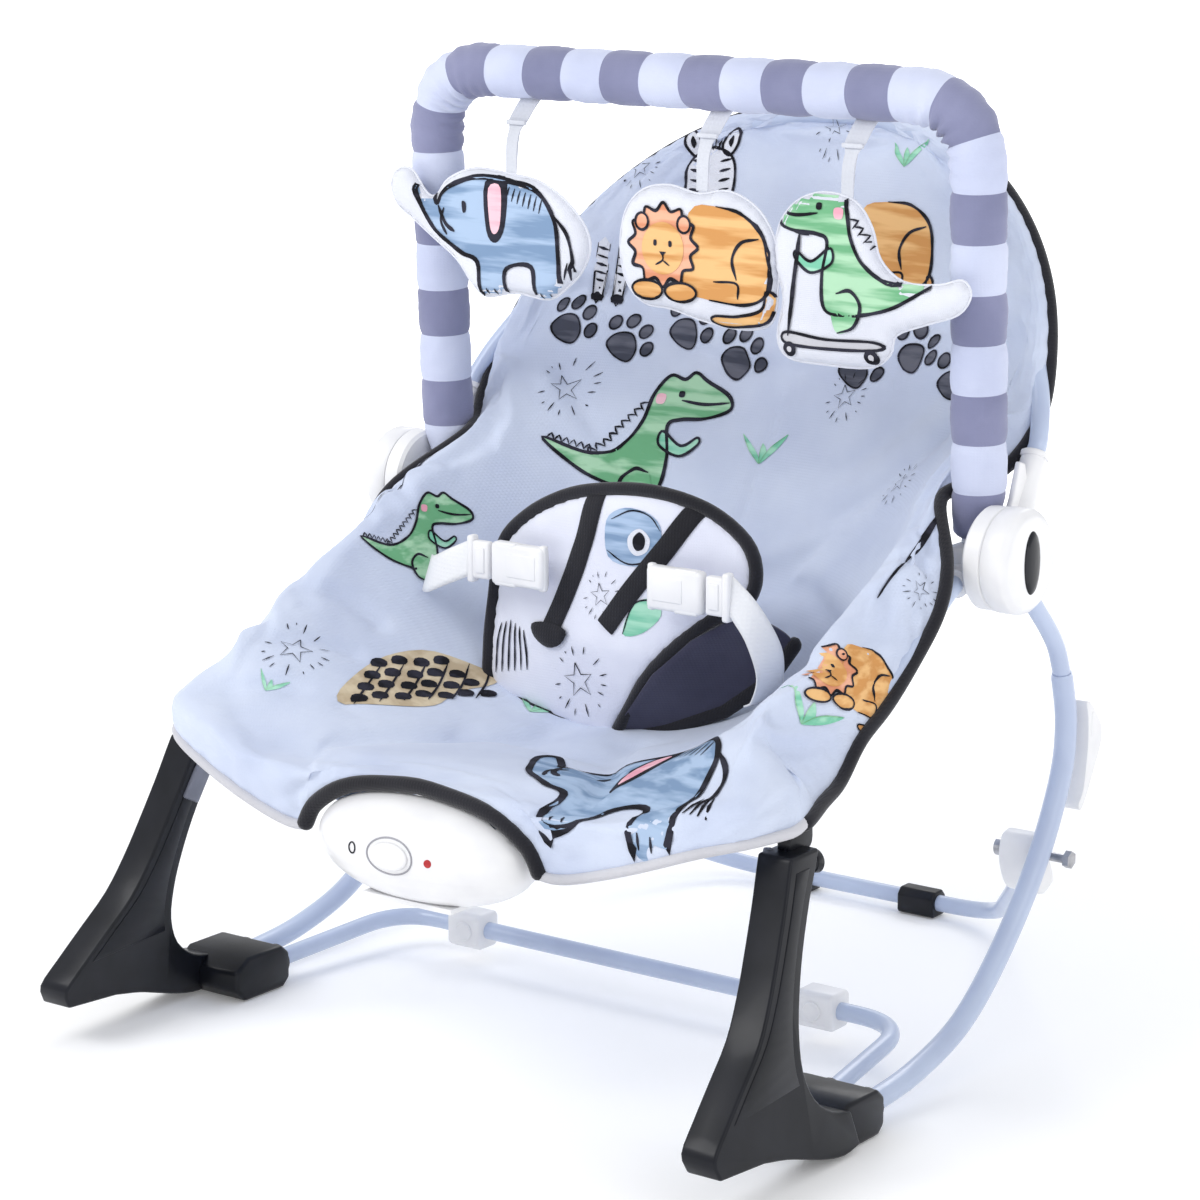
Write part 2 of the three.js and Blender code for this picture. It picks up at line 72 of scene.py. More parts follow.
ARCH_PIPING_END = 0.0885       # metres from the middle, where the arch's piping gives way to the pale rim
PIPING_STEP = 0.003            # metres between the points of a piping
CLOTH_FRAMES, CLOTH_CAP = 18, 0.0065
FLOOR_HALF = 40


def mm(x, y, z):
    return Vector((x / 1000, (y + PLAN_SHIFT) / 1000, z / 1000))


# ------------------------------------------------------------------ materials
def node_tree(name):
    material = bpy.data.materials.new(name)
    material.use_nodes = True
    nodes = material.node_tree.nodes
    return material, nodes, material.node_tree.links, nodes["Principled BSDF"]


def noise_node(nodes, links, scale, detail=3.0, stretch=(1, 1, 1)):
    coords = nodes.new("ShaderNodeTexCoord")
    mapping = nodes.new("ShaderNodeMapping")
    mapping.inputs["Scale"].default_value = stretch
    links.new(coords.outputs["Object"], mapping.inputs["Vector"])
    tex = nodes.new("ShaderNodeTexNoise")
    tex.inputs["Scale"].default_value = scale
    tex.inputs["Detail"].default_value = detail
    links.new(mapping.outputs["Vector"], tex.inputs["Vector"])
    return tex


def two_tone(nodes, links, tex, dark, light, low=0.35, high=0.65):
    ramp = nodes.new("ShaderNodeValToRGB")
    ramp.color_ramp.elements[0].position = low
    ramp.color_ramp.elements[0].color = (*dark, 1)
    ramp.color_ramp.elements[1].position = high
    ramp.color_ramp.elements[1].color = (*light, 1)
    links.new(tex.outputs["Fac"], ramp.inputs["Fac"])
    return ramp


def bump_from(nodes, links, shader, height, strength, distance):
    bump = nodes.new("ShaderNodeBump")
    bump.inputs["Strength"].default_value = strength
    bump.inputs["Distance"].default_value = distance
    links.new(height, bump.inputs["Height"])
    links.new(bump.outputs["Normal"], shader.inputs["Normal"])


def hard_material(name, dark, light, rough, coat=0.0, grain=0.02, metal=0.0, scale=35, specular=0.5):
    """Moulded plastic or painted metal: faint tone changes, fine grain and rougher worn patches."""
    material, nodes, links, shader = node_tree(name)
    tone = noise_node(nodes, links, scale)
    ramp = two_tone(nodes, links, tone, dark, light)
    links.new(ramp.outputs["Color"], shader.inputs["Base Color"])
    wear = noise_node(nodes, links, 90, 5)
    spread = nodes.new("ShaderNodeMapRange")
    spread.inputs["To Min"].default_value = rough * 0.8
    spread.inputs["To Max"].default_value = rough * 1.3
    links.new(wear.outputs["Fac"], spread.inputs["Value"])
    links.new(spread.outputs["Result"], shader.inputs["Roughness"])
    fine = noise_node(nodes, links, 900, 2)
    bump_from(nodes, links, shader, fine.outputs["Fac"], grain, 0.0004)
    shader.inputs["Metallic"].default_value = metal
    shader.inputs["Specular IOR Level"].default_value = specular
    shader.inputs["Coat Weight"].default_value = coat
    shader.inputs["Coat Roughness"].default_value = 0.12
    return material


def cloth_material(name, dark, light, weave=1100, strength=0.25, sheen=0.25, rough=0.85, scale=14):
    """Woven polyester: crossing threads, slow colour change and a soft sheen."""
    material, nodes, links, shader = node_tree(name)
    tone = noise_node(nodes, links, scale, 4)
    ramp = two_tone(nodes, links, tone, dark, light)
    links.new(ramp.outputs["Color"], shader.inputs["Base Color"])
    coords = nodes.new("ShaderNodeTexCoord")
    threads = []
    for turn in (0, 90):
        mapping = nodes.new("ShaderNodeMapping")
        mapping.inputs["Rotation"].default_value = (0, math.radians(turn), 0)
        links.new(coords.outputs["Object"], mapping.inputs["Vector"])
        wave = nodes.new("ShaderNodeTexWave")
        wave.inputs["Scale"].default_value = weave / 6.0
        wave.inputs["Distortion"].default_value = 0.6
        links.new(mapping.outputs["Vector"], wave.inputs["Vector"])
        threads.append(wave)
    cross = nodes.new("ShaderNodeMath")
    cross.operation = "MAXIMUM"
    links.new(threads[0].outputs["Fac"], cross.inputs[0])
    links.new(threads[1].outputs["Fac"], cross.inputs[1])
    bump_from(nodes, links, shader, cross.outputs["Value"], strength, 0.0003)
    shader.inputs["Roughness"].default_value = rough
    shader.inputs["Sheen Weight"].default_value = sheen
    shader.inputs["Sheen Roughness"].default_value = 0.5
    shader.inputs["Specular IOR Level"].default_value = 0.25
    return material


def ink_material(name, dark, light):
    """Marker ink printed on cloth: strokes of two close tones, streaked along the drawing."""
    material, nodes, links, shader = node_tree(name)
    tone = noise_node(nodes, links, 60, 3, (0.25, 1, 2.2))
    ramp = two_tone(nodes, links, tone, dark, light, 0.42, 0.58)
    links.new(ramp.outputs["Color"], shader.inputs["Base Color"])
    shader.inputs["Roughness"].default_value = 0.88
    shader.inputs["Specular IOR Level"].default_value = 0.2
    fine = noise_node(nodes, links, 1400, 2)
    bump_from(nodes, links, shader, fine.outputs["Fac"], 0.08, 0.0002)
    return material


MATS = {
    "black": hard_material("black_plastic", (0.005, 0.006, 0.009), (0.009, 0.01, 0.015), 0.3, 0.06, 0.01,
                           specular=0.22),
    "grey": hard_material("grey_plastic", (0.14, 0.15, 0.19), (0.2, 0.21, 0.26), 0.3),
    "grey_line": hard_material("grey_line", (0.3, 0.3, 0.33), (0.38, 0.38, 0.42), 0.5),
    "steel": hard_material("screw_steel", (0.32, 0.32, 0.34), (0.5, 0.5, 0.52), 0.3, 0, 0.05, 1.0, 120),
    "tube": hard_material("frame_paint", (0.46, 0.53, 0.7), (0.52, 0.6, 0.77), 0.3, 0.3, 0.03, 0.0, 18),
    "white": hard_material("white_plastic", (0.8, 0.8, 0.82), (0.86, 0.86, 0.87), 0.38, 0.1, 0.02),
    "unit": hard_material("unit_plastic", (0.82, 0.82, 0.84), (0.88, 0.88, 0.89), 0.3, 0.2, 0.01),
    "cover": cloth_material("cover_cloth", (0.53, 0.59, 0.75), (0.62, 0.68, 0.82)),
    "lining": cloth_material("lining_cloth", (0.5, 0.5, 0.54), (0.6, 0.6, 0.64)),
    "piping": cloth_material("piping_cloth", (0.006, 0.006, 0.01), (0.014, 0.014, 0.02), 900, 0.4),
    "panel": cloth_material("harness_cloth", (0.68, 0.7, 0.82), (0.78, 0.8, 0.9)),
    "under": cloth_material("harness_lining", (0.03, 0.03, 0.06), (0.06, 0.06, 0.1)),
    "stripe_dark": cloth_material("stripe_dark", (0.18, 0.19, 0.31), (0.24, 0.25, 0.39)),
    "stripe_light": cloth_material("stripe_light", (0.5, 0.54, 0.71), (0.59, 0.63, 0.79)),
    "web": cloth_material("webbing", (0.76, 0.77, 0.8), (0.84, 0.85, 0.87), 700, 0.5),
    "plush": cloth_material("plush_white", (0.66, 0.68, 0.76), (0.76, 0.78, 0.85), 1600, 0.5, 0.5),
    "tape": cloth_material("toy_tape", (0.56, 0.58, 0.64), (0.66, 0.68, 0.74), 700, 0.5),
    "ink": ink_material("ink_black", (0.008, 0.008, 0.012), (0.03, 0.03, 0.045)),
    "slate": ink_material("ink_slate", (0.06, 0.065, 0.09), (0.13, 0.135, 0.17)),
    "blue": ink_material("ink_blue", (0.2, 0.3, 0.46), (0.4, 0.52, 0.7)),
    "green": ink_material("ink_green", (0.16, 0.42, 0.22), (0.42, 0.68, 0.46)),
    "pale_green": ink_material("ink_pale_green", (0.2, 0.55, 0.38), (0.4, 0.72, 0.55)),
    "orange": ink_material("ink_orange", (0.62, 0.3, 0.1), (0.82, 0.5, 0.22)),
    "mane": ink_material("ink_mane", (0.68, 0.28, 0.16), (0.85, 0.45, 0.3)),
    "pink": ink_material("ink_pink", (0.78, 0.36, 0.45), (0.88, 0.55, 0.62)),
    "sand": ink_material("ink_sand", (0.5, 0.4, 0.27), (0.66, 0.56, 0.4)),
    "red": ink_material("ink_red", (0.4, 0.03, 0.04), (0.5, 0.06, 0.06)),
}


# ------------------------------------------------------------------ mesh tools
def new_object(name, data):
    piece = bpy.data.objects.new(name, data)
    bpy.context.scene.collection.objects.link(piece)
    return piece


def mesh_piece(name, verts, faces, materials, smooth=True, face_mats=None):
    data = bpy.data.meshes.new(name)
    data.from_pydata([tuple(v) for v in verts], [], faces)
    for key in materials if isinstance(materials, (list, tuple)) else [materials]:
        data.materials.append(MATS[key])
    if face_mats is not None:
        data.polygons.foreach_set("material_index", face_mats)
    piece = new_object(name, data)
    bm = bmesh.new()
    bm.from_mesh(data)
    bmesh.ops.remove_doubles(bm, verts=bm.verts, dist=1e-7)
    bmesh.ops.recalc_face_normals(bm, faces=bm.faces)
    bm.to_mesh(data)
    bm.free()
    data.polygons.foreach_set("use_smooth", [smooth] * len(data.polygons))
    return piece


def apply_modifier(piece, kind, **settings):
    mod = piece.modifiers.new(kind.lower(), kind)
    for key, value in settings.items():
        setattr(mod, key, value)
    bpy.context.view_layer.objects.active = piece
    with bpy.context.temp_override(object=piece, active_object=piece, selected_objects=[piece]):
        bpy.ops.object.modifier_apply(modifier=mod.name)


def sharp_shade(piece, angle=35):
    data = piece.data
    bm = bmesh.new()
    bm.from_mesh(data)
    for edge in bm.edges:
        edge.smooth = len(edge.link_faces) == 2 and edge.calc_face_angle(0) < math.radians(angle)
    bm.to_mesh(data)
    bm.free()


def curve_points(points, per=8, closed=False):
    """Catmull-Rom curve through the points."""
    points = [Vector(p) for p in points]
    n = len(points)
    out = []
    for i in range(n if closed else n - 1):
        if closed:
            p0, p1, p2, p3 = (points[(i + k) % n] for k in (-1, 0, 1, 2))
        else:
            p1, p2 = points[i], points[i + 1]
            p0 = points[i - 1] if i else p1 * 2 - p2
            p3 = points[i + 2] if i + 2 < n else p2 * 2 - p1
        for k in range(per):
            t = k / per
            out.append(0.5 * ((2 * p1) + (p2 - p0) * t + (2 * p0 - 5 * p1 + 4 * p2 - p3) * t * t
                              + (3 * p1 - p0 - 3 * p2 + p3) * t ** 3))
    if not closed:
        out.append(points[-1])
    return out


def smooth_outline(points, per=4, closed=True):
    return [(p.x, p.y) for p in curve_points([(a, b, 0) for a, b in points], per, closed)]


def circle(x, y, rx, ry, count):
    turns = [2 * math.pi * k / count for k in range(count)]
    return [(x + rx * math.cos(t), y + ry * math.sin(t)) for t in turns]


def bent_points(points, radius, per=10):
    """Straight runs joined by round corners, as in bent tube."""
    points = [Vector(p) for p in points]
    out = [points[0]]
    start = points[0]
    for i in range(1, len(points) - 1):
        p = points[i]
        back = start - p
        ahead = points[i + 1] - p
        cut = min(radius, back.length * 0.9, ahead.length * 0.45)
        a = p + back.normalized() * cut
        b = p + ahead.normalized() * cut
        for k in range(per + 1):
            t = k / per
            out.append(a * (1 - t) ** 2 + p * (2 * t * (1 - t)) + b * t * t)
        start = b
    out.append(points[-1])
    return out


def frames_along(points, closed=False):
    """A tangent and two steady side directions at each point."""
    n = len(points)
    tangents = []
    for i in range(n):
        if closed:
            d = points[(i + 1) % n] - points[i - 1]
        else:
            d = points[min(i + 1, n - 1)] - points[max(i - 1, 0)]
        tangents.append(d.normalized())
    side = tangents[0].orthogonal().normalized()
    out = []
    for t in tangents:
        side = (side - t * side.dot(t)).normalized()
        out.append((t, side, t.cross(side)))
    return out


def sweep(name, points, radius, material, sides=16, closed=False, flat=1.0, round_ends=False):
    """A tube along the points. radius is a number or a function of the point's index."""
    points = [Vector(p) for p in points]
    frames = frames_along(points, closed)
    verts = []
    rings = []
    count = len(points)

    def ring(centre, a, b, r):
        rings.append(len(verts))
        for k in range(sides):
            t = 2 * math.pi * k / sides
            verts.append(centre + a * (r * math.cos(t)) + b * (r * flat * math.sin(t)))

    get = radius if callable(radius) else (lambda i: radius)
    if round_ends and not closed:
        t, a, b = frames[0]
        for k in (0.1, 0.5, 0.8):
            ring(points[0] - t * get(0) * math.cos(k * math.pi / 2) * 0.9, a, b, get(0) * math.sin(k * math.pi / 2))
    for i in range(count):
        ring(points[i], frames[i][1], frames[i][2], get(i))
    if round_ends and not closed:
        t, a, b = frames[-1]
        r = get(count - 1)
        for k in (0.8, 0.5, 0.1):
            ring(points[-1] + t * r * math.cos(k * math.pi / 2) * 0.9, a, b, r * math.sin(k * math.pi / 2))
    faces = []
    total = len(rings)
    for i in range(total if closed else total - 1):
        p, q = rings[i], rings[(i + 1) % total]
        for k in range(sides):
            m = (k + 1) % sides
            faces.append((p + k, p + m, q + m, q + k))
    if not closed:
        faces.append(tuple(rings[0] + k for k in reversed(range(sides))))
        faces.append(tuple(rings[-1] + k for k in range(sides)))
    piece = mesh_piece(name, verts, faces, material)
    sharp_shade(piece, 50)
    return piece


def lathe(name, profile, centre, axis, material, steps=48, scale=(1, 1)):
    """Profile (radius, height) pairs turned about axis; both ends lie on the axis."""
    axis = Vector(axis).normalized()
    side = Vector((0, 1, 0)) if abs(axis.y) < 0.9 else Vector((0, 0, 1))
    other = axis.cross(side)
    verts = []
    faces = []
    for r, h in profile:
        for k in range(steps):
            t = 2 * math.pi * k / steps
            offset = side * (r * scale[0] * math.cos(t)) + other * (r * scale[1] * math.sin(t)) + axis * h
            verts.append(Vector(centre) + offset / 1000)
    for i in range(len(profile) - 1):
        for k in range(steps):
            m = (k + 1) % steps
            a, b = i * steps, (i + 1) * steps
            faces.append((a + k, a + m, b + m, b + k))
    faces.append(tuple(range(steps)))
    faces.append(tuple((len(profile) - 1) * steps + k for k in reversed(range(steps))))
    piece = mesh_piece(name, verts, faces, material)
    sharp_shade(piece, 40)
    return piece


def extrude(name, outline, to3d, depth, material, bevel=1.5, segments=3):
    """A closed 2D outline given thickness along the third direction of to3d(a, b, h)."""
    n = len(outline)
    verts = [to3d(a, b, 0) for a, b in outline] + [to3d(a, b, depth) for a, b in outline]
    faces = [tuple(range(n)), tuple(range(2 * n - 1, n - 1, -1))]
    for i in range(n):
        m = (i + 1) % n
        faces.append((i, m, n + m, n + i))
    piece = mesh_piece(name, verts, faces, material)
    if bevel:
        apply_modifier(piece, "BEVEL", width=bevel / 1000, segments=segments, limit_method="ANGLE",
                       angle_limit=math.radians(40))
    sharp_shade(piece, 35)
    return piece


def block(name, centre, size, material, bevel=1.5, turn=None):
    """A rounded block, sizes in millimetres."""
    bm = bmesh.new()
    bmesh.ops.create_cube(bm, size=1)
    for v in bm.verts:
        v.co = Vector((v.co.x * size[0], v.co.y * size[1], v.co.z * size[2])) / 1000
        if turn is not None:
            v.co = turn @ v.co
        v.co += Vector(centre)
    data = bpy.data.meshes.new(name)
    bm.to_mesh(data)
    bm.free()
    data.materials.append(MATS[material])
    piece = new_object(name, data)
    if bevel:
        apply_modifier(piece, "BEVEL", width=bevel / 1000, segments=3)
    for poly in piece.data.polygons:
        poly.use_smooth = True
    sharp_shade(piece, 35)
    return piece


def mirror_of(piece, name):
    """The same piece on the other side of the seat."""
    data = piece.data.copy()
    data.name = name
    for v in data.vertices:
        v.co.x = -v.co.x
    data.flip_normals()
    return new_object(name, data)


def on_both_sides(make, name, body, node=None, body_right=None):
    """Makes NAME_left, mirrors it to NAME_right, and lets them stand for the CAD nodes of that name."""
    left = make(f"{name}_left_look")
    right = mirror_of(left, f"{name}_right_look")
    for piece, side in ((left, "left"), (right, "right")):
        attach(piece, (body_right if side == "right" and body_right else body))
        if node:
            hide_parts(f"{node}_{side}")
    return left, right


def join(pieces, name):
    """Joins several meshes into one piece, keeping their materials."""
    verts = []
    faces = []
    face_mats = []
    smooth = []
    mats = []
    for piece in pieces:
        base = len(verts)
        verts += [v.co.copy() for v in piece.data.vertices]
        for poly in piece.data.polygons:
            faces.append(tuple(base + i for i in poly.vertices))
            material = piece.data.materials[poly.material_index]
            if material not in mats:
                mats.append(material)
            face_mats.append(mats.index(material))
            smooth.append(poly.use_smooth)
    data = bpy.data.meshes.new(name)
    data.from_pydata([tuple(v) for v in verts], [], faces)
    for material in mats:
        data.materials.append(material)
    data.polygons.foreach_set("material_index", face_mats)
    data.polygons.foreach_set("use_smooth", smooth)
    whole = new_object(name, data)
    for piece in pieces:
        bpy.data.objects.remove(piece)
    sharp_shade(whole, 40)
    return whole


# ------------------------------------------------------------------ padded cover
# Half rows of the cover's upper face run from the middle (x = 0) to the ridge of the side wall,
# then down the outside of the wall to the piping, and back underneath. Layout mm.
RIDGE_SHARE = (0, .2, .4, .58, .73, .85, .935, 1)
FLAP_STEPS = ((87, 148), (105, 151.5), (126, 157), (155, 165.5), (187, 178), (205, 183), (223, 187))
FRONT_OUTLINE = ((0, -268), (50, -268), (79, -267.5), (93, -267), (140, -265), (187, -257), (211, -243),
                 (223, -221))
ROLL_Z = (192, 191, 188.5, 186, 188, 199, 211, 222)


def flap_bottom(x):
    """Height of the front flap's lower edge, with the arch cut out over the unit."""
    if x < FLAP_ARCH_X:
        return FLAP_ARCH_Z + FLAP_ARCH_RISE * math.sqrt(max(0.0, 1 - (x / FLAP_ARCH_X) ** 2))
    for (x0, z0), (x1, z1) in zip(FLAP_STEPS, FLAP_STEPS[1:]):
        if x <= x1:
            return z0 + (z1 - z0) * (x - x0) / (x1 - x0)
    return FLAP_STEPS[-1][1]


# centre (y, z), ridge (x, y, z), piping (x, y, z), sharpness of the trough
SEAT_ROWS = (
    ((-195, 184), (190, -180, 250), (218, -160, 203), 3.2),
    ((-145, 181), (190, -147, 266), (216, -136, 222), 3.0),
    ((-95, 179), (190, -108, 285), (216, -108, 236), 2.9),
    ((-55, 180), (189, -76, 301), (215, -74, 259), 2.8),
    ((-22, 189), (186, -46, 315), (215.5, -50, 282), 2.7),
    ((4, 211), (182, -19, 325), (209, -31, 306), 2.6),
    ((30, 240), (177, 6, 338), (182.5, 2, 333), 2.5),
    ((45, 258), (176, 19, 347), (183, 19, 340), 2.45),
    ((60, 278), (177, 35, 357), (193, 37, 343), 2.4),
    ((86, 320), (186, 56, 374), (204, 57, 356), 2.3),
)
ARCH_TURNS = (3, 12, 23, 34, 45, 56, 67, 77, 84, 88, 90)
ARCH_R, RIM_R = 199, 207.5
ARCH_DIR = Vector((0, 0.515, 0.857))
ARCH_OUT = Vector((0, 0.857, -0.515))       # away from the sitter


def arch_point(x, s, back):
    """A point by the backrest's plane: x across, s up the backrest, back behind it."""
    return Vector((x, 72, 372)) + ARCH_DIR * s + ARCH_OUT * back


def mix(a, b, t):
    return a + (b - a) * t


def cover_rows():
    """Control rows: (upper face points, skirt and rim points, underside points from the rim inwards)."""
    rows = []
    outline = [Vector((x, y, 0)) for x, y in FRONT_OUTLINE]
    low = [Vector((p.x, p.y, flap_bottom(p.x))) for p in outline]
    roll = [Vector((p.x * 0.985, p.y + 5, z)) for p, z in zip(outline, ROLL_Z)]
    roll[7] = Vector((209, -199, 223))
    bulge = [mix(a, b, 0.5) + Vector((a.x * 0.02, -3 if a.z < 186 else 0, 0)) for a, b in zip(low, roll)]
    bulge[7] = Vector((219, -210, 205))
    inner = [Vector(p) for p in ((0, -242, 189), (46, -242, 189), (80, -241, 189), (104, -240, 189),
                                 (142, -235, 193), (172, -226, 203), (188, -214, 221), (193, -203, 240))]
    fronts = ((low, (225, -208, 190), 4), (bulge, (225, -202, 192), 5), (roll, (223.5, -194, 194), 8),
              (inner, (221, -182, 197), 11))
    for row, rim, thick in fronts:
        rim = Vector(rim)
        skirt = [mix(row[7], rim, 0.34) + Vector((1.5, 0, 0)), mix(row[7], rim, 0.7) + Vector((1.5, 0, 0))]
        inward = Vector((0, 1, -0.15)) if thick < 8 else Vector((0, 0.45, -0.9))
        under = [p + Vector((-p.x / 214 * 0.6, inward.y, inward.z)).normalized() * thick for p in row[:6]]
        low_in = rim + Vector((-9, 2, -2))
        closing = [rim + Vector((-3, 2, -4)), low_in]
        under += [mix(under[5], low_in, 0.4), mix(under[5], low_in, 0.75)]
        rows.append((row, skirt + [rim], closing, under))
    for (cy, cz), ridge, rim, power in SEAT_ROWS:
        ridge, rim = Vector(ridge), Vector(rim)
        row = []
        for u in RIDGE_SHARE:
            w = u ** power
            row.append(Vector((ridge.x * u, cy + (ridge.y - cy) * w, cz + (ridge.z - cz) * w)))
        high = min(1, (ridge - rim).length / 40)
        skirt = [mix(ridge, rim, 0.33) + Vector((3.5, 0, 2.5)) * high,
                 mix(ridge, rim, 0.7) + Vector((3, 0, 1)) * high]
        down = Vector((0, 0.3, -1)).normalized() if cy < 0 else Vector((0, 0.8, -0.6))
        under = [p + down * 11 for p in row[:5]]
        wide = 7 + 9 * high
        inside = rim + Vector((-wide, 3, -3 - 2 * high))
        closing = [rim + Vector((-wide * 0.45, 2, -7)), inside]
        under += [mix(under[4], inside, t) for t in (0.35, 0.65, 0.85)]
        rows.append((row, skirt + [rim], closing, under))
    for turn in ARCH_TURNS:
        t = math.radians(turn)
        c, s = math.cos(t), math.sin(t)
        up = ARCH_R * s
        hollow = 35 * (1 - s ** 1.35)
        row = [arch_point(ARCH_R * c * u, up, hollow * (1 - u ** 2.4) - 8 * u * u) for u in RIDGE_SHARE]
        rim = arch_point(RIM_R * c, RIM_R * s, 3)
        skirt = [arch_point(204 * c, 204 * s, -7.5), arch_point(207 * c, 207 * s, -3)]
        closing = [arch_point(205.5 * c, 205.5 * s, 8), arch_point(199 * c, 199 * s, 10.5)]
        under = []
        for u, p in zip(RIDGE_SHARE, row):
            deep = hollow * (1 - u ** 2.4) + 12 - 2 * u
            under.append(arch_point(ARCH_R * c * u * 0.97, up * 0.97, max(deep, 10)))
        rows.append((row, skirt + [rim], closing, under))
    return rows


def spline_rows(net, per):
    """Catmull-Rom along the first axis of an array of points."""
    n = len(net)
    out = []
    for i in range(n - 1):
        p1, p2 = net[i], net[i + 1]
        p0 = net[i - 1] if i else 2 * p1 - p2
        p3 = net[i + 2] if i + 2 < n else 2 * p2 - p1
        for k in range(per):
            t = k / per
            out.append(0.5 * (2 * p1 + (p2 - p0) * t + (2 * p0 - 5 * p1 + 4 * p2 - p3) * t * t
                              + (3 * p1 - p0 - 3 * p2 + p3) * t ** 3))
    out.append(net[-1])
    return np.array(out)


def cover_grid(across=6, along=6):
    """Closed rings of points, one ring per row: upper face, skirt, underside. Returns points in metres."""
    upper, lower = [], []
    for row, skirt, closing, under in cover_rows():
        upper.append([tuple(p) for p in row + skirt])
        lower.append([tuple(p) for p in [skirt[-1]] + closing + under[::-1]])
    upper = spline_rows(np.array(upper).transpose(1, 0, 2), across).transpose(1, 0, 2)
    lower = spline_rows(np.array(lower).transpose(1, 0, 2), across).transpose(1, 0, 2)
    upper[:, 0, 0] = 0
    lower[:, -1, 0] = 0
    half = np.concatenate([upper, lower[:, 1:]], axis=1)
    mirror = half[:, ::-1].copy()
    mirror[:, :, 0] *= -1
    rings = np.concatenate([half, mirror[:, 1:-1]], axis=1)
    rings = spline_rows(rings, along)
    rings[:, :, 1] += PLAN_SHIFT
    return rings / 1000, upper.shape[1]


def build_cover():
    rings, edge = cover_grid()
    rows, around = rings.shape[:2]
    verts = rings.reshape(-1, 3)
    faces = []
    for i in range(rows - 1):
        for j in range(around):
            k = (j + 1) % around
            faces.append((i * around + j, i * around + k, (i + 1) * around + k, (i + 1) * around + j))
    # a strip under the flap's lower edge closes the shell; at the top of the arch the two halves meet
    half = around // 2
    outer = list(range(edge))
    inner = list(range(half, edge - 2, -1))
    for flip in (False, True):
        for tri in strip(outer, inner):
            tri = [(around - t) % around for t in tri][::-1] if flip else tri
            if len(set(tri)) == 3:
                faces.append(tuple(tri))
    return mesh_piece("seat_cover", verts, faces, "cover"), rings, edge


def strip(a, b):
    """Triangles between two runs of vertices that go the same way."""
    i = j = 0
    tris = []
    while i < len(a) - 1 or j < len(b) - 1:
        if j == len(b) - 1 or (i < len(a) - 1 and (i + 1) / len(a) <= (j + 1) / len(b)):
            tris.append((a[i], a[i + 1], b[j]))
            i += 1
        else:
            tris.append((a[i], b[j + 1], b[j]))
            j += 1
    return tris


def on_cover(piece):
    """Bakes the piece's placement into its mesh, as for the cover, which lies over the seat frame and the backrest."""
    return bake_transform(piece)


def fold_cover(piece, folds):
    """Creases and rolls: each fold is (layout points, height in mm, half width in mm)."""
    data = piece.data
    n = len(data.vertices)
    places = np.empty(n * 3)
    normals = np.empty(n * 3)
    data.vertices.foreach_get("co", places)
    data.vertices.foreach_get("normal", normals)
    places, normals = places.reshape(-1, 3), normals.reshape(-1, 3)
    lift = np.zeros(n)
    skin = BVHTree.FromPolygons([v.co.copy() for v in data.vertices], [tuple(p.vertices) for p in data.polygons])
    for points, height, wide in folds:
        line = np.array([tuple(skin.find_nearest(p)[0]) for p in curve_points([mm(*p) for p in points], 6)])
        best = np.full(n, 1e9)
        share = np.zeros(n)
        for i, (a, b) in enumerate(zip(line, line[1:])):
            d = b - a
            t = np.clip(((places - a) @ d) / max(d @ d, 1e-12), 0, 1)
            away = np.linalg.norm(places - (a + t[:, None] * d), axis=1)
            near = away < best
            best[near] = away[near]
            share[near] = (i + t[near]) / (len(line) - 1)
        fade = np.minimum(1, np.minimum(share, 1 - share) * 5 + 0.1)
        lift += height * fade * np.exp(-(best * 1000 / wide) ** 2)
    data.vertices.foreach_set("co", (places + normals * (lift / 1000)[:, None]).ravel())
    data.update()


def slept_in(piece, frames=CLOTH_FRAMES, cap=CLOTH_CAP):
    """Cloth pressure fills the padding; seams stay put, so the fabric wrinkles beside them."""
    data = piece.data
    held = KDTree(len(SEAMS))
    for i, p in enumerate(SEAMS):
        held.insert(p, i)
    held.balance()
    group = piece.vertex_groups.new(name="held")
    start = []
    for v in data.vertices:
        _, _, away = held.find(v.co)
        weight = max(0.0, min(1.0, 1.25 - away / 0.016))
        if weight > 0:
            group.add([v.index], weight, "REPLACE")
        start.append(v.co.copy())
    cloth = piece.modifiers.new("cloth", "CLOTH")
    settings = cloth.settings
    settings.quality = 4
    settings.mass = 0.25
    settings.tension_stiffness = settings.compression_stiffness = 12
    settings.shear_stiffness = 6
    settings.bending_stiffness = 0.6
    settings.use_pressure = True
    settings.uniform_pressure_force = 4
    settings.shrink_min = -0.05
    settings.vertex_group_mass = "held"
    settings.effector_weights.gravity = 0
    cloth.collision_settings.use_collision = False
    cloth.point_cache.frame_start, cloth.point_cache.frame_end = 1, frames
    scene = bpy.context.scene
    for frame_number in range(1, frames + 1):
        scene.frame_set(frame_number)
    done = piece.evaluated_get(bpy.context.evaluated_depsgraph_get()).to_mesh()
    moved = [v.co.copy() for v in done.vertices]
    piece.evaluated_get(bpy.context.evaluated_depsgraph_get()).to_mesh_clear()
    piece.modifiers.clear()
    scene.frame_set(1)
    for v, a, b in zip(data.vertices, start, moved):
        step = b - a
        if step.length > cap:
            step *= cap / step.length
        v.co = a + step
    apply_modifier(piece, "SUBSURF", levels=1, subdivision_type="CATMULL_CLARK")
    for polygon in piece.data.polygons:
        polygon.use_smooth = True
    piece.vertex_groups.clear()


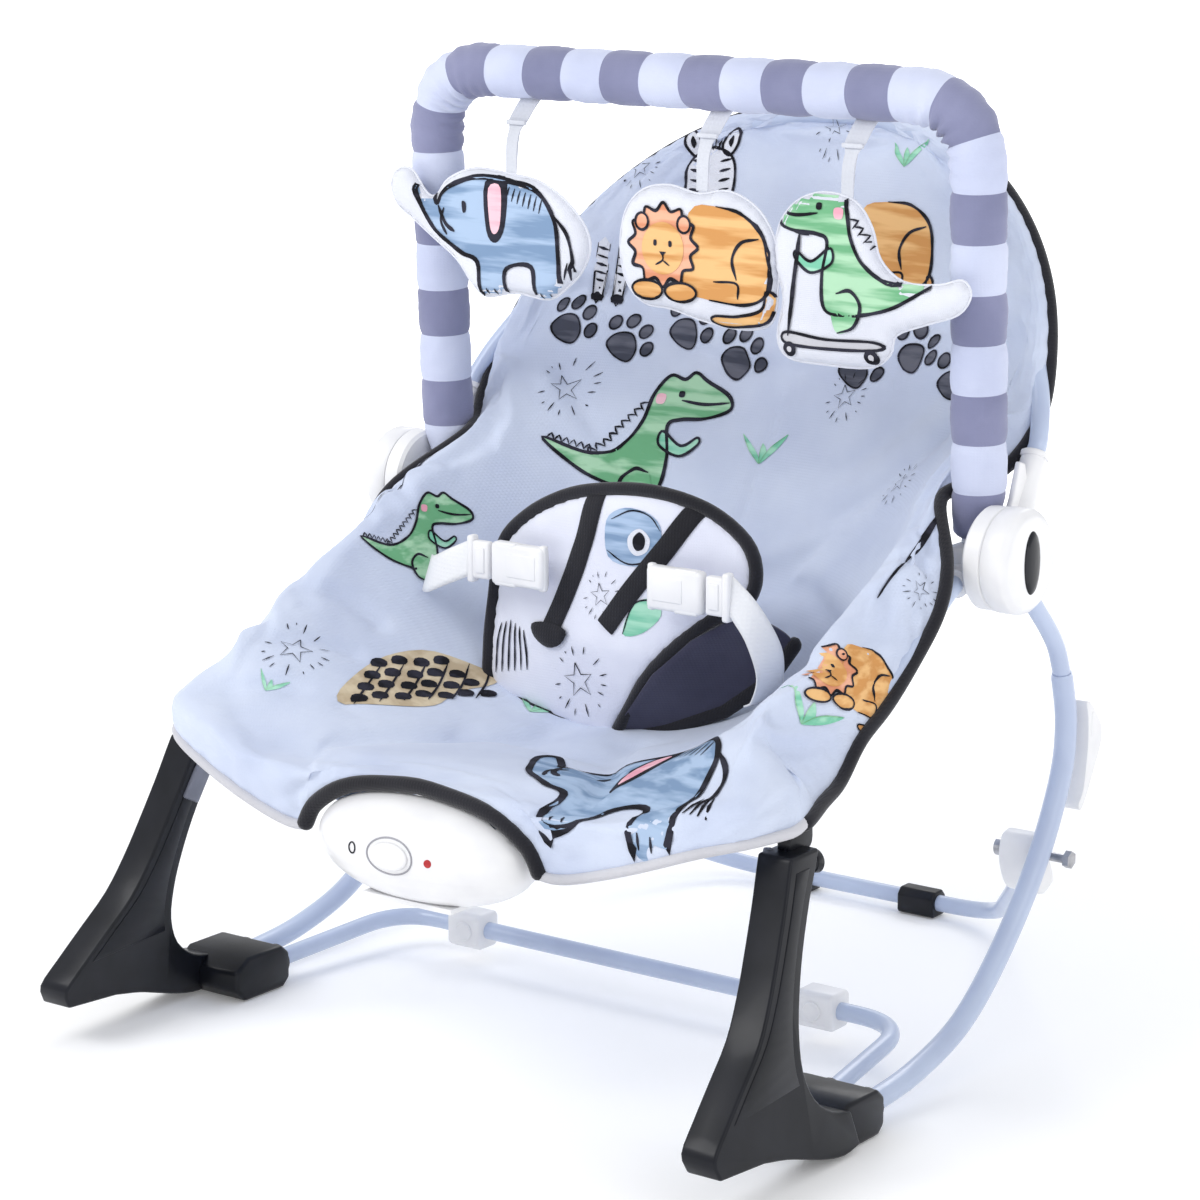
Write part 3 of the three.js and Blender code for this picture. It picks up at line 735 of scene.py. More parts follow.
cover, rings, edge = build_cover()
SEAMS = [Vector(p) for row in rings for p in (row[edge - 1], row[(len(row) - edge + 1) % len(row)])]
SEAMS += [Vector(p) for p in rings[0, :edge]] + [Vector((-p[0], p[1], p[2])) for p in rings[0, :edge]]
FOLDS = (
    (((-192, -150, 262), (-176, -124, 240), (-150, -112, 214), (-124, -98, 196)), -4.5, 7),
    (((-190, -200, 232), (-168, -168, 226), (-146, -140, 210), (-128, -104, 196)), -4, 6),
    (((-188, -222, 212), (-150, -170, 205), (-118, -120, 194)), 3.5, 8),
    (((-196, -236, 204), (-170, -212, 208), (-140, -196, 199), (-104, -190, 192)), -3, 7),
    (((-70, -256, 190), (-20, -236, 189), (40, -240, 189), (96, -252, 191)), -2, 6),
    (((196, -150, 262), (176, -120, 244), (152, -100, 214), (126, -84, 195)), -4, 7),
    (((190, -206, 232), (168, -170, 222), (140, -134, 202), (112, -96, 192)), -3.5, 7),
    (((150, -40, 262), (128, -10, 248), (96, 22, 250), (60, 44, 262)), -4, 8),
    (((-150, -40, 262), (-128, -10, 248), (-96, 22, 250), (-60, 44, 262)), -4, 8),
    (((60, 62, 292), (98, 68, 318), (134, 74, 348), (166, 84, 384)), -4.5, 8),
    (((84, 56, 280), (120, 60, 310), (152, 66, 342), (176, 78, 376)), 3.5, 8),
    (((50, 76, 320), (92, 86, 350), (126, 96, 384), (150, 110, 424)), -3, 9),
    (((-60, 62, 292), (-98, 68, 318), (-134, 74, 348), (-166, 84, 384)), -4, 8),
    (((-176, 78, 376), (-152, 66, 342), (-120, 60, 310), (-84, 56, 280)), 3, 8),
    (((-120, 8, 236), (-40, 20, 226), (40, 20, 226), (120, 8, 236)), -3.5, 9),
    (((-110, -30, 196), (-40, -20, 190), (40, -20, 190), (110, -30, 196)), 2.5, 10),
    (((192, -60, 300), (196, -40, 305), (190, -14, 318)), -3, 5),
    (((-192, -60, 300), (-196, -40, 305), (-190, -14, 318)), -3, 5),
    (((180, 60, 384), (172, 72, 420), (150, 96, 470)), -3, 7),
    (((-180, 60, 384), (-172, 72, 420), (-150, 96, 470)), -3, 7),
)
slept_in(cover)
fold_cover(cover, FOLDS)
on_cover(cover)
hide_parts("seat_pad", "back_pad")


# ------------------------------------------------------------------ floor frame and rails
def path(points):
    return [mm(*p) for p in points]


def swept_tube(name, points, radius, body, node):
    piece = sweep(name, points, radius / 1000, "tube", 24)
    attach(piece, body)
    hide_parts(*([node] if isinstance(node, str) else node))
    return piece


CROSSBAR = ((213, -176, 12.8), (196, -46, 21.5), (-196, -46, 21.5), (-213, -176, 12.8))
RAIL_LOW = ((-176, 13), (-150, 13.5), (-102, 18.5), (-51, 34), (-6, 67), (36, 113), (62, 160), (67, 194), (60, 226))
RAIL_HIGH = ((237, 60.6, 225), (236.7, 53, 243), (235.8, 43, 257), (234.3, 32, 270), (232.8, 21, 283))
KICKSTAND = ((217, 58, 97), (110, 212, 9.5), (-110, 212, 9.5), (-217, 58, 97))
SEAT_SIDE = ((204, 2, 294), (205, -12, 292), (208, -38, 282), (210.5, -72, 262), (209, -118, 232), (208, -154, 207),
             (206, -188, 193), (200, -217, 186))

swept_tube("crossbar_look", bent_points(path(CROSSBAR), 0.034), TUBE_R, "frame", "crossbar")
swept_tube("kickstand_tube_look", bent_points(path(KICKSTAND), 0.04), TUBE_R, "kickstand", "kickstand_tube")
front_rail = [(187, -239, 180), (150, -250, 173.5), (80, -254, 172)]
seat_line = list(SEAT_SIDE) + front_rail + [(0, -255, 172)]
seat_line += [(-x, y, z) for x, y, z in seat_line[-2::-1]]
swept_tube("seat_frame_look", curve_points(path(seat_line)), FRAME_R, "frame", "seat_frame")


def rail_radius(count):
    """The lower rail's open end is rolled inwards where the upper rail plugs in."""
    return lambda i: RAIL_R / 1000 * (0.93 if i == count - 1 else 1)


def lower_rail(name):
    points = curve_points([mm(RAIL_X, y, z) for y, z in RAIL_LOW], 10)
    return sweep(name, points, rail_radius(len(points)), "tube", 24)


def upper_rail(name):
    return sweep(name, curve_points(path(RAIL_HIGH)), TUBE_R / 1000, "tube", 24)


on_both_sides(lower_rail, "rail_lower", "frame", "rail_lower")
on_both_sides(upper_rail, "rail_upper", "frame", "rail_upper")


def yz_extrude(name, outline, x0, x1, material, bevel, rounded=False):
    """An outline in the side view, given thickness across the seat from x0 to x1."""
    if rounded:
        outline = smooth_outline(outline)
    return extrude(name, outline, lambda a, b, h: mm(x0, a, b) + Vector((h / 1000, 0, 0)), x1 - x0,
                   material, bevel)


CLAMP = ((-57, 12.5), (-54, 9.5), (-38, 9.5), (-35, 12.5), (-35, 30.5), (-38, 33.5), (-54, 33.5), (-57, 30.5))


def clamp(name):
    shell = yz_extrude(f"{name}_shell", CLAMP, 123, 149, "white", 2.2)
    lip = lathe(f"{name}_lip", ((0, 0), (6.2, 0), (6.4, 0.6), (5.6, 1.4), (4.8, 0.9), (0, 0.9)), mm(135, -57, 21.5),
                (0, -1, 0), "white", 32)
    return join([shell, lip], name)


on_both_sides(clamp, "clamp", "frame", "clamp")


BUMPER = ((70, 142), (75.5, 150), (78.6, 166), (80, 182), (79, 196), (77, 205), (82, 204), (90, 196), (97, 185),
          (95.5, 174), (88, 160), (80, 146), (73, 138))


def bumper(name):
    body = yz_extrude(f"{name}_body", BUMPER, RAIL_X - 9, RAIL_X + 9, "white", 2.5, True)
    tab = block(f"{name}_tab", mm(RAIL_X, 97, 170.5), (6, 15, 5), "white", 1.2)
    rib = block(f"{name}_rib", mm(RAIL_X, 84.5, 190), (19, 3, 16), "white", 1)
    return join([body, tab, rib], name)


on_both_sides(bumper, "rail_bumper", "frame", "rail_bumper")

KICK_END = ((43, 110), (46, 121), (52, 124), (58, 123), (64, 112), (72, 92), (68, 87), (60, 84), (52, 88), (46, 98))


def kickstand_end(name):
    body = yz_extrude(f"{name}_body", KICK_END, 205, 229.4, "white", 2.5, True)
    boss = lathe(f"{name}_boss", ((0, 0), (8.2, 0), (8.6, 0.8), (8, 1.8), (0, 1.8)), mm(229.2, 52, 112),
                 (1, 0, 0), "white")
    return join([body, boss], name)


on_both_sides(kickstand_end, "kickstand_end", "kickstand", "kickstand_end")

KICK_FOOT = ((203, 2), (205, 0), (219, 0), (221, 2), (221, 13.5), (217, 18), (207, 18), (203, 13.5))


def kickstand_foot(name):
    return yz_extrude(name, KICK_FOOT, 36, 64, "black", 1.6)


on_both_sides(kickstand_foot, "kickstand_foot", "kickstand", "kickstand_foot")

# ------------------------------------------------------------------ legs
LEG_FRONT = ((-326, 24), (-330, 36), (-316, 50), (-298, 66), (-278, 84), (-264, 104), (-252, 126), (-240, 150),
             (-232, 168), (-228, 176.5))
LEG_REAR = ((-200, 176.5), (-204, 168), (-214, 150), (-226, 124), (-234, 100), (-238, 80), (-238, 60), (-230, 42),
            (-214, 30), (-196, 25))
LEG_SOLE = ((-190, 4), (-206, 2), (-224, 5), (-244, 11), (-262, 16.5), (-284, 21))
LEG_LEAN = 0.14


def lean(y, z, x):
    return mm(x - LEG_LEAN * (z - 24), y, z)


def leg(name):
    front, rear, sole = (smooth_outline(line, 3, False) for line in (LEG_FRONT, LEG_REAR, LEG_SOLE))
    outline = front + rear + sole
    body = extrude(f"{name}_body", outline, lambda a, b, h: lean(a, b, 229 + h), 23, "black", 3.2, 4)
    parts = [body]
    # a raised rib on the outer and the inner face follows the front and rear edges
    rib = [(y + 7, z) for y, z in front[6:-3]] + [(y - 8, z) for y, z in rear[3:20]]
    for word, x in (("rib", 251.6), ("rib_in", 228.5)):
        parts.append(extrude(f"{name}_{word}", rib, lambda a, b, h: lean(a, b, x + h), 0.9, "black", 0.7, 2))
    block_line = ((-208, 8), (-200, 0), (-163, 0), (-157, 5), (-157, 22), (-164, 28), (-196, 28), (-208, 20))
    parts.append(yz_extrude(f"{name}_block", block_line, 198, 250, "black", 2.4))
    collar = ((0, 0), (10.4, 0), (10.4, 3.4), (9.4, 4.4), (7.6, 4.4), (7.4, 0.8), (0, 0.8))
    for x, z in ((237, 13.2), (211.5, 13.4)):
        parts.append(lathe(f"{name}_socket", collar, mm(x, -157.4, z), (0, 1, 0), "black", 32))
    lug = ((-215, 174), (-194, 174), (-192, 188), (-196, 195), (-203, 197), (-211, 195), (-215, 188))
    parts.append(yz_extrude(f"{name}_lug", lug, 212.6, 221.4, "black", 2, True))
    return join(parts, name)


on_both_sides(leg, "leg", "frame", "leg")


def knob(name):
    axis = mm(223, -190.2, 165.5) - mm(221, -200.6, 167.5)
    profile = ((0, 0), (6, 0), (7, 1), (7, 3), (6.4, 3.6), (6.4, 4.4), (7, 5), (7, 9.4), (6, 10.6), (0, 10.9))
    return lathe(name, profile, mm(221, -200.6, 167.5), axis, "black", 40)


on_both_sides(knob, "leg_knob", "frame", "leg_knob")


def insert(name):
    turn = Matrix.Rotation(math.radians(-8), 3, "Y") @ Matrix.Rotation(math.radians(-27), 3, "X")
    return block(name, mm(211.2, -222, 156), (6, 15, 42), "grey", 1.6, turn)


on_both_sides(insert, "leg_insert", "frame", "leg_insert")


# ------------------------------------------------------------------ hubs
def hub_outer(name):
    r = HUB_R
    profile = ((0, 0), (r - 1, 0), (r, 1.2), (r, 12.6), (r - 0.8, 14.4), (r - 2.4, 15.6), (r - 3.4, 17),
               (r - 5, 17.6), (r - 8, 17.9), (0, 17.9))
    return lathe(name, profile, mm(225.8, HUB_Y, HUB_Z), (1, 0, 0), "white", 72)


def hub_button(name):
    profile = ((0, 0), (1, 0), (1, 1.6), (0.94, 2.6), (0.72, 3.3), (0.4, 3.7), (0.01, 3.9))
    return lathe(name, profile, mm(241.8, HUB_Y, HUB_Z), (1, 0, 0), "black", 56, (9.2, 19.6))


def hub_inner(name):
    r = HUB_R - 0.6
    drum = lathe(f"{name}_drum", ((0, 0), (r - 2, 0), (r, 2), (r, 11.6), (r - 0.8, 12.4), (0, 12.4)),
                 mm(213, HUB_Y, HUB_Z), (1, 0, 0), "white", 72)
    foot, top = mm(216.8, 36, 318), mm(215, 60, 360)
    stalk = sweep(f"{name}_stalk", [mix(foot, top, t / 8) for t in range(9)],
                  lambda i: (8.8 - 0.1 * i if i < 8 else 7.4) / 1000, "white", 32)
    way = (top - foot).normalized()
    fin = extrude(f"{name}_fin", ((0, 0), (26, -2), (34, 14), (26, 40), (20, 42), (12, 20)),
                  lambda a, b, h: mm(214.6, 16, 316) + Vector((h / 1000, a / 1000, b / 1000)), 4, "white", 1.2)
    collar = sweep(f"{name}_collar", [top - way * 0.004, top - way * 0.001], 0.0088, "white", 32)
    return join([drum, stalk, fin, collar], name)


on_both_sides(hub_outer, "hub_outer", "frame", "hub_outer")
on_both_sides(hub_button, "hub_button", "recline_button_left", "hub_button",
              body_right="recline_button_right")
on_both_sides(hub_inner, "hub_inner", "backrest", "hub_inner")

SOCKET = ((-6, 284), (25, 284), (28, 300), (27, 310), (-6, 310), (-9, 300))


def bar_socket(name):
    shell = yz_extrude(f"{name}_shell", SOCKET, 190, 212.4, "white", 3)
    lip = lathe(f"{name}_lip", ((6, 0), (10.6, 0), (10.8, 1), (10.2, 4.5), (9.2, 5.4), (6, 5.4)),
                mm(BAR_X, BAR_Y + BAR_LEAN * (BAR_TOP - 310), 309.5), (0, -BAR_LEAN, 1), "white", 40)
    cup = sweep(f"{name}_cup", [mm(204.3, -3, 293.2), mm(205.6, -17, 291)], (FRAME_R + 3.4) / 1000, "white", 32)
    return join([shell, lip, cup], name)


on_both_sides(bar_socket, "toy_bar_socket", "frame", "toy_bar_socket")

# ------------------------------------------------------------------ backrest tube
STALK = (mm(216.8, 36, 318), mm(215, 60, 360))
stalk_way = (STALK[1] - STALK[0]).normalized()
back_line = [STALK[1] + stalk_way * d for d in (-0.02, -0.01, 0, 0.008)] + [mm(208, 77, 386)]
arch = []
for step in range(1, 24):
    turn = math.pi * step / 24
    p = arch_point(199 * math.cos(turn), 199 * math.sin(turn), 0)
    arch.append(mm(*p))
mirrored = [Vector((-p.x, p.y, p.z)) for p in back_line]
swept_tube("back_frame_look", curve_points(back_line + arch[1:-1] + mirrored[::-1], 6), FRAME_R,
           "backrest", "back_frame")


# ------------------------------------------------------------------ soothing unit
def unit_shell():
    verts, faces = [], []
    rows, cols = 40, 72
    for i in range(rows + 1):
        v = math.pi * i / rows
        for j in range(cols):
            t = 2 * math.pi * j / cols
            x, y, z = math.sin(v) * math.cos(t), math.sin(v) * math.sin(t), math.cos(v)
            # fuller than an ellipsoid along its length, with a moulded seam round the waist
            x = math.copysign(abs(x) ** UNIT_FULLNESS, x)
            p = Vector((UNIT_RX * x, UNIT_Y + UNIT_RY * y, UNIT_Z + UNIT_RZ * z))
            if abs(p.z - (UNIT_Z - 12)) < 0.9:
                p.x *= 0.992
                p.y = UNIT_Y + (p.y - UNIT_Y) * 0.985
            if p.y > -267 and p.z > 165.4:
                p.z = 165.4
            verts.append(mm(*p))
    for i in range(rows):
        for j in range(cols):
            k = (j + 1) % cols
            faces.append((i * cols + j, (i + 1) * cols + j, (i + 1) * cols + k, i * cols + k))
    return mesh_piece("unit_shell", verts, faces, "unit")


def oval_ring(name, x, z, rx, rz, width, lift, material):
    """A thin raised oval line on the unit's front."""
    points = []
    for k in range(48):
        t = 2 * math.pi * k / 48
        px, pz = x + rx * math.cos(t), z + rz * math.sin(t)
        points.append(mm(px, unit_front(px, pz) - lift, pz))
    return sweep(name, points, width / 1000, material, 8, True)


def unit_front(x, z):
    room = 1 - (abs(x) / UNIT_RX) ** (2 / UNIT_FULLNESS) - ((z - UNIT_Z) / UNIT_RZ) ** 2
    return UNIT_Y - UNIT_RY * math.sqrt(max(0.0, room))


def oval_disc(name, x, z, rx, rz, low, high, material):
    verts, faces = [mm(x, unit_front(x, z) - high, z)], []
    steps = 48
    for level, (share, lift) in enumerate(((0.8, high), (0.95, high * 0.9), (1, high * 0.5 + low * 0.5), (1, low))):
        for k in range(steps):
            t = 2 * math.pi * k / steps
            px, pz = x + rx * share * math.cos(t), z + rz * share * math.sin(t)
            verts.append(mm(px, unit_front(px, pz) - lift, pz))
    for k in range(steps):
        m = (k + 1) % steps
        faces.append((0, 1 + k, 1 + m))
        for level in range(3):
            a, b = 1 + level * steps, 1 + (level + 1) * steps
            faces.append((a + k, b + k, b + m, a + m))
    return mesh_piece(name, verts, faces, material)


shell = unit_shell()
trims = [oval_ring("unit_switch_rim", 0, UNIT_Z + 2, 16.5, 10.6, 0.55, 0.1, "grey_line"),
         oval_ring("unit_ring_mark", -29, UNIT_Z + 2, 2.6, 3.2, 0.45, 0.2, "ink")]
housing = join([shell] + trims, "unit_housing_look")
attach(housing, "frame")
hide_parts("unit_housing")
mark = oval_disc("unit_red_mark", 27, UNIT_Z + 2, 2.4, 2.4, 0, 0.35, "red")
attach(mark, "frame")
knob_face = oval_disc("unit_switch_look", 0, UNIT_Z + 2, 13.6, 8, 0.2, 1.9, "unit")
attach(knob_face, "unit_switch_knob")
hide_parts("unit_switch")

def recolour(node, key):
    """A CAD piece that keeps its own shape gets one of the materials above."""
    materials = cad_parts[node].data.materials
    materials.clear()
    materials.append(MATS[key])


for screw in ("leg_screw", "clamp_screw", "kickstand_bolt"):
    for side in ("left", "right"):
        recolour(f"{screw}_{side}", "steel")
recolour("battery_door", "unit")


# ------------------------------------------------------------------ striped toy bar
def bar_leg(side, z):
    return mm(side * BAR_X, BAR_Y + BAR_LEAN * (BAR_TOP - z), z)


def bar_line(bottom):
    corners = [bar_leg(1, bottom), bar_leg(1, BAR_TOP), bar_leg(-1, BAR_TOP), bar_leg(-1, bottom)]
    return bent_points(corners, 0.044, 16)


def evenly(points, step):
    """The same line with points a fixed step apart."""
    total = sum((b - a).length for a, b in zip(points, points[1:]))
    count = round(total / step)
    want = total / count
    out = [points[0].copy()]
    walked, target = 0.0, want
    for a, b in zip(points, points[1:]):
        length = (b - a).length
        while target <= walked + length + 1e-9 and len(out) < count:
            out.append(mix(a, b, (target - walked) / length))
            target += want
        walked += length
    out.append(points[-1].copy())
    return out, want


def build_sleeve():
    points, step = evenly(bar_line(312), 0.0023)
    frames = frames_along(points)
    sides = 40
    count = len(points)
    ends = 0.006
    total = (count - 1) * step
    corners = [bar_leg(1, BAR_TOP), bar_leg(-1, BAR_TOP)]
    way = 1 if points[-1].x > 0 else -1
    middle = total / 2
    verts, faces, face_mats = [], [], []
    for i, p in enumerate(points):
        _, a, b = frames[i]
        along = i * step
        stripe = way * (along - middle) / STRIPE
        seam = abs(stripe - round(stripe)) * STRIPE
        tight = 0.0007 * math.exp(-(seam / 0.0016) ** 2)
        puff = 0.0006 * math.sin(math.pi * (stripe % 1))
        end = min(along, total - along)
        rounding = 1 - 0.42 * (1 - min(1, end / ends)) ** 2
        for k in range(sides):
            turn = 2 * math.pi * k / sides
            out = a * math.cos(turn) + b * math.sin(turn)
            near = min(corners, key=lambda c: (c - p).length)
            inner = (Vector((0, near.y, near.z - 0.09)) - near).normalized()
            bend = max(0.0, 1 - (p - near).length / 0.062)
            facing = max(0.0, out.dot(inner))
            fold = math.sin(along * 620 + 1.7 * math.sin(turn * 2)) * bend * (0.35 + facing) * 0.0022
            crease = 0.0006 * noise.noise(Vector((along * 60, turn * 1.2, 3.1)))
            crease += 0.0004 * noise.noise(Vector((along * 190, turn * 2.4, 8.6)))
            r = (SLEEVE_R / 1000 - tight + puff + fold + crease) * rounding
            # each end narrows and is drawn in over its socket
            drawn = max(0.0, min(1.0, (0.342 - p.z) / 0.02))
            verts.append(p + out * (r * (1 - 0.2 * drawn)) - Vector((math.copysign(0.003, p.x) * drawn, 0, 0)))
    for i in range(count - 1):
        stripe = math.floor(way * ((i + 0.5) * step - middle) / STRIPE)
        for k in range(sides):
            m = (k + 1) % sides
            faces.append((i * sides + k, i * sides + m, (i + 1) * sides + m, (i + 1) * sides + k))
            face_mats.append(1 if stripe % 2 else 0)
    faces.append(tuple(reversed(range(sides))))
    faces.append(tuple((count - 1) * sides + k for k in range(sides)))
    face_mats += [0, 0]
    return mesh_piece("toy_bar_sleeve_look", verts, faces, ["stripe_dark", "stripe_light"], face_mats=face_mats)


sleeve = build_sleeve()
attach(sleeve, "toy_bar")
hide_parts("toy_bar_sleeve")
swept_tube("toy_bar_tube_look", bar_line(300), 5.5, "toy_bar", "toy_bar_tube")


# ------------------------------------------------------------------ bindings of the cover
def soft_piece(piece, body, nodes=()):
    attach(piece, body)
    if nodes:
        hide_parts(*nodes)
    return piece


def rim_points(side, first, last):
    j = edge - 1 if side > 0 else (rings.shape[1] - edge + 1)
    return [Vector(rings[i, j]) for i in range(first, last)]


def smooth_line(points, rounds=2):
    points = [p.copy() for p in points]
    for _ in range(rounds):
        eased = [(a + b * 2 + c) / 4 for a, b, c in zip(points, points[1:], points[2:])]
        points = [points[0]] + eased + [points[-1]]
    return points


ROWS = rings.shape[0]
right_side = rim_points(-1, 3, ROWS)
left_side = rim_points(1, 3, ROWS)
side_line = smooth_line(left_side + right_side[::-1][1:], 3)
side_piping = sweep("cover_piping", evenly(side_line, PIPING_STEP)[0], 0.005, "piping", 14, flat=0.85,
                    round_ends=True)
on_cover(side_piping)

front = [Vector(rings[0, j]) for j in range(edge)]
arch_half = [p for p in front if p.x < ARCH_PIPING_END]
arch_line = [Vector((-p.x, p.y, p.z)) for p in arch_half[::-1]] + arch_half[1:]
arch_line = [p + Vector((0, -0.0012, 0.0005)) for p in smooth_line(arch_line, 2)]
arch_piping = sweep("cover_arch_piping", evenly(arch_line, PIPING_STEP)[0], 0.0052, "piping", 12, flat=0.9,
                    round_ends=True)
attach(arch_piping, "frame")
for side, name in ((1, "left"), (-1, "right")):
    rim = [Vector((p.x * side, p.y, p.z)) for p in front if p.x >= ARCH_PIPING_END]
    j_rim = [Vector((side * abs(p.x), p.y, p.z)) for p in rim_points(1, 0, 5)]
    line = evenly(smooth_line([p + Vector((0, -0.001, 0.001)) for p in rim + j_rim[1:]], 2), PIPING_STEP)[0]
    lining = sweep(f"cover_rim_{name}", line, 0.0031, "lining", 10, flat=1.0, round_ends=True)
    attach(lining, "frame")


# ------------------------------------------------------------------ cut shapes, puffed plates and printed drawings
def inside(point, polygon):
    x, y = point
    hit = False
    for (x0, y0), (x1, y1) in zip(polygon, polygon[1:] + polygon[:1]):
        if (y0 > y) != (y1 > y) and x < x0 + (y - y0) * (x1 - x0) / (y1 - y0):
            hit = not hit
    return hit


def edge_distance(point, polygon):
    p = Vector(point)
    best = 1e9
    for a, b in zip(polygon, polygon[1:] + polygon[:1]):
        a, b = Vector(a), Vector(b)
        d = b - a
        t = min(1, max(0, (p - a).dot(d) / max(d.length_squared, 1e-12)))
        best = min(best, (a + d * t - p).length)
    return best


def cut_shape(outline, step):
    """Triangles that fill an outline, with a grid of points inside it.

    Returns the 2D points, the triangles, and each point's distance from the outline.
    """
    low = [min(p[i] for p in outline) for i in (0, 1)]
    high = [max(p[i] for p in outline) for i in (0, 1)]
    points = list(outline)
    rows = int((high[1] - low[1]) / step) + 1
    for r in range(rows + 1):
        y = low[1] + r * step
        x = low[0] + (step / 2 if r % 2 else 0)
        while x < high[0]:
            if inside((x, y), outline) and edge_distance((x, y), outline) > step * 0.45:
                points.append((x, y))
            x += step
    ring = list(range(len(outline)))
    verts, _, tris, *_ = geometry.delaunay_2d_cdt([Vector(p) for p in points], [], [ring], 1, 1e-6, False)
    flat = [(v.x, v.y) for v in verts]
    far = [edge_distance(p, outline) for p in flat]
    kept = [tuple(t) for t in tris if inside(tuple(sum(flat[i][k] for i in t) / 3 for k in (0, 1)), outline)]
    return flat, kept, far


def puffed(name, outline, to3d, thick, round_off, material, step=4.0, wrinkle=0.0, seed=0.0):
    """A stuffed flat shape: thick is its half thickness, reached round_off in from its sewn edge."""
    flat, tris, far = cut_shape(outline, step)
    verts, faces = [], []
    for sign in (1, -1):
        for (a, b), d in zip(flat, far):
            t = min(1, d / round_off)
            h = thick * math.sqrt(max(0, 1 - (1 - t) ** 2))
            h += wrinkle * t * noise.noise(Vector((a * 0.06, b * 0.06, seed + sign)))
            verts.append(to3d(a, b, sign * h if d > 1e-4 else 0.0))
    n = len(flat)
    for t in tris:
        faces.append(t)
        faces.append(tuple(n + i for i in reversed(t)))
    return mesh_piece(name, verts, faces, material)


def surface_of(piece):
    data = piece.data
    return BVHTree.FromPolygons([v.co.copy() for v in data.vertices], [tuple(p.vertices) for p in data.polygons])


class Print:
    """A drawing laid on a surface: colour fills and inked strokes, each a thin film just above the cloth."""

    def __init__(self, surface, centre, normal, up, size, flip=False, reach=0.12):
        self.surface = surface
        self.centre = Vector(centre)
        self.normal = Vector(normal).normalized()
        up = Vector(up)
        self.up = (up - self.normal * up.dot(self.normal)).normalized()
        self.right = self.up.cross(self.normal) * (-1 if flip else 1)
        self.scale = size / 100 / 1000
        self.reach = reach
        self.verts, self.faces, self.mats, self.keys = [], [], [], []

    def lay(self, points, lift):
        """Indices of the laid points, or None where the drawing runs off the cloth."""
        out = []
        for a, b in points:
            start = self.centre + (self.right * a + self.up * b) * self.scale + self.normal * self.reach
            hit, normal, _, _ = self.surface.ray_cast(start, -self.normal, self.reach * 2)
            if hit is None or abs(normal.dot(self.normal)) < 0.12:
                out.append(None)
                continue
            if normal.dot(self.normal) < 0:
                normal = -normal
            out.append(len(self.verts))
            self.verts.append(hit + normal * lift)
        return out

    def add_faces(self, faces, index, key):
        if key not in self.keys:
            self.keys.append(key)
        slot = self.keys.index(key)
        for face in faces:
            ids = [index[i] for i in face]
            if None not in ids:
                self.faces.append(ids)
                self.mats.append(slot)

    def fill(self, key, outline, lift=0.0004, per=4, step=None):
        outline = smooth_outline(outline, per) if per else list(outline)
        flat, tris, _ = cut_shape(outline, step or max(0.0035 / self.scale, 3))
        self.add_faces(tris, self.lay(flat, lift), key)

    def stroke(self, points, width, key="ink", closed=False, lift=0.0007, per=6, taper=True):
        line = [Vector((a, b, 0)) for a, b in points]
        if per:
            line = curve_points(line, per, closed)
        if closed:
            line.append(line[0].copy())
        left, right = [], []
        n = len(line)
        for i, p in enumerate(line):
            d = line[min(i + 1, n - 1)] - line[max(i - 1, 0)]
            side = Vector((-d.y, d.x, 0)).normalized()
            t = i / max(1, n - 1)
            half = width / 2 * (0.8 + 0.3 * noise.noise(p * 0.05 + Vector((0, 0, width))))
            if taper and not closed:
                half *= min(1, 0.35 + 4 * t, 0.35 + 4 * (1 - t))
            left.append(((p + side * half).x, (p + side * half).y))
            right.append(((p - side * half).x, (p - side * half).y))
        index = self.lay(left + right, lift)
        self.add_faces([(i, i + 1, n + i + 1, n + i) for i in range(n - 1)], index, key)

    def build(self, name):
        data = bpy.data.meshes.new(name)
        data.from_pydata([tuple(v) for v in self.verts], [], self.faces)
        for key in self.keys:
            data.materials.append(MATS[key])
        data.polygons.foreach_set("material_index", self.mats)
        data.polygons.foreach_set("use_smooth", [True] * len(self.faces))
        piece = new_object(name, data)
        bm = bmesh.new()
        bm.from_mesh(data)
        loose = [v for v in bm.verts if not v.link_faces]
        bmesh.ops.delete(bm, geom=loose, context="VERTS")
        for face in bm.faces:
            face.normal_update()
            if face.normal.dot(self.normal) < 0:
                face.normal_flip()
        bm.to_mesh(data)
        bm.free()
        return piece


# Drawings, in hundredths of their size: x to the right, y up. Simple animals of the builder's own design.
def draw_elephant(p):
    body = [(-52, 44), (-20, 54), (22, 52), (58, 44), (80, 20), (86, -12), (84, -62), (58, -66), (52, -34), (20, -38),
            (14, -66), (-14, -68), (-18, -34), (-38, -26), (-56, -16), (-74, -4), (-90, 16), (-104, 36), (-96, 46),
            (-84, 36), (-72, 24), (-66, 34)]
    p.fill("blue", body)
    p.fill("ink", [(-8, 50), (20, 52), (18, 6), (6, -12), (-6, 0)], 0.0006)
    p.fill("pink", [(-3, 44), (13, 45), (12, 8), (5, -3), (-1, 6)], 0.0008)
    p.stroke(body, 6, closed=True)
    p.stroke([(-70, 22), (-60, 4), (-48, -4)], 5)
    p.stroke([(-58, -8), (-66, 6), (-62, 20)], 4)
    p.stroke([(82, 20), (98, 2), (104, -22), (98, -34)], 5)
    for k in range(4):
        p.stroke([(98 + k * 3, -26), (92 + k * 6, -44)], 3.5, per=2)
    for k in range(7):
        p.stroke([(24 + k * 7, 47 - k * 1.5), (20 + k * 7, 34 - k * 2)], 2.6, per=2)
    for x in (-8, 2, 62, 72):
        p.stroke([(x, -60), (x + 2, -66)], 3, per=2)
    p.fill("ink", [(-38, 28), (-33, 27), (-33, 18), (-37, 17)], 0.0008)


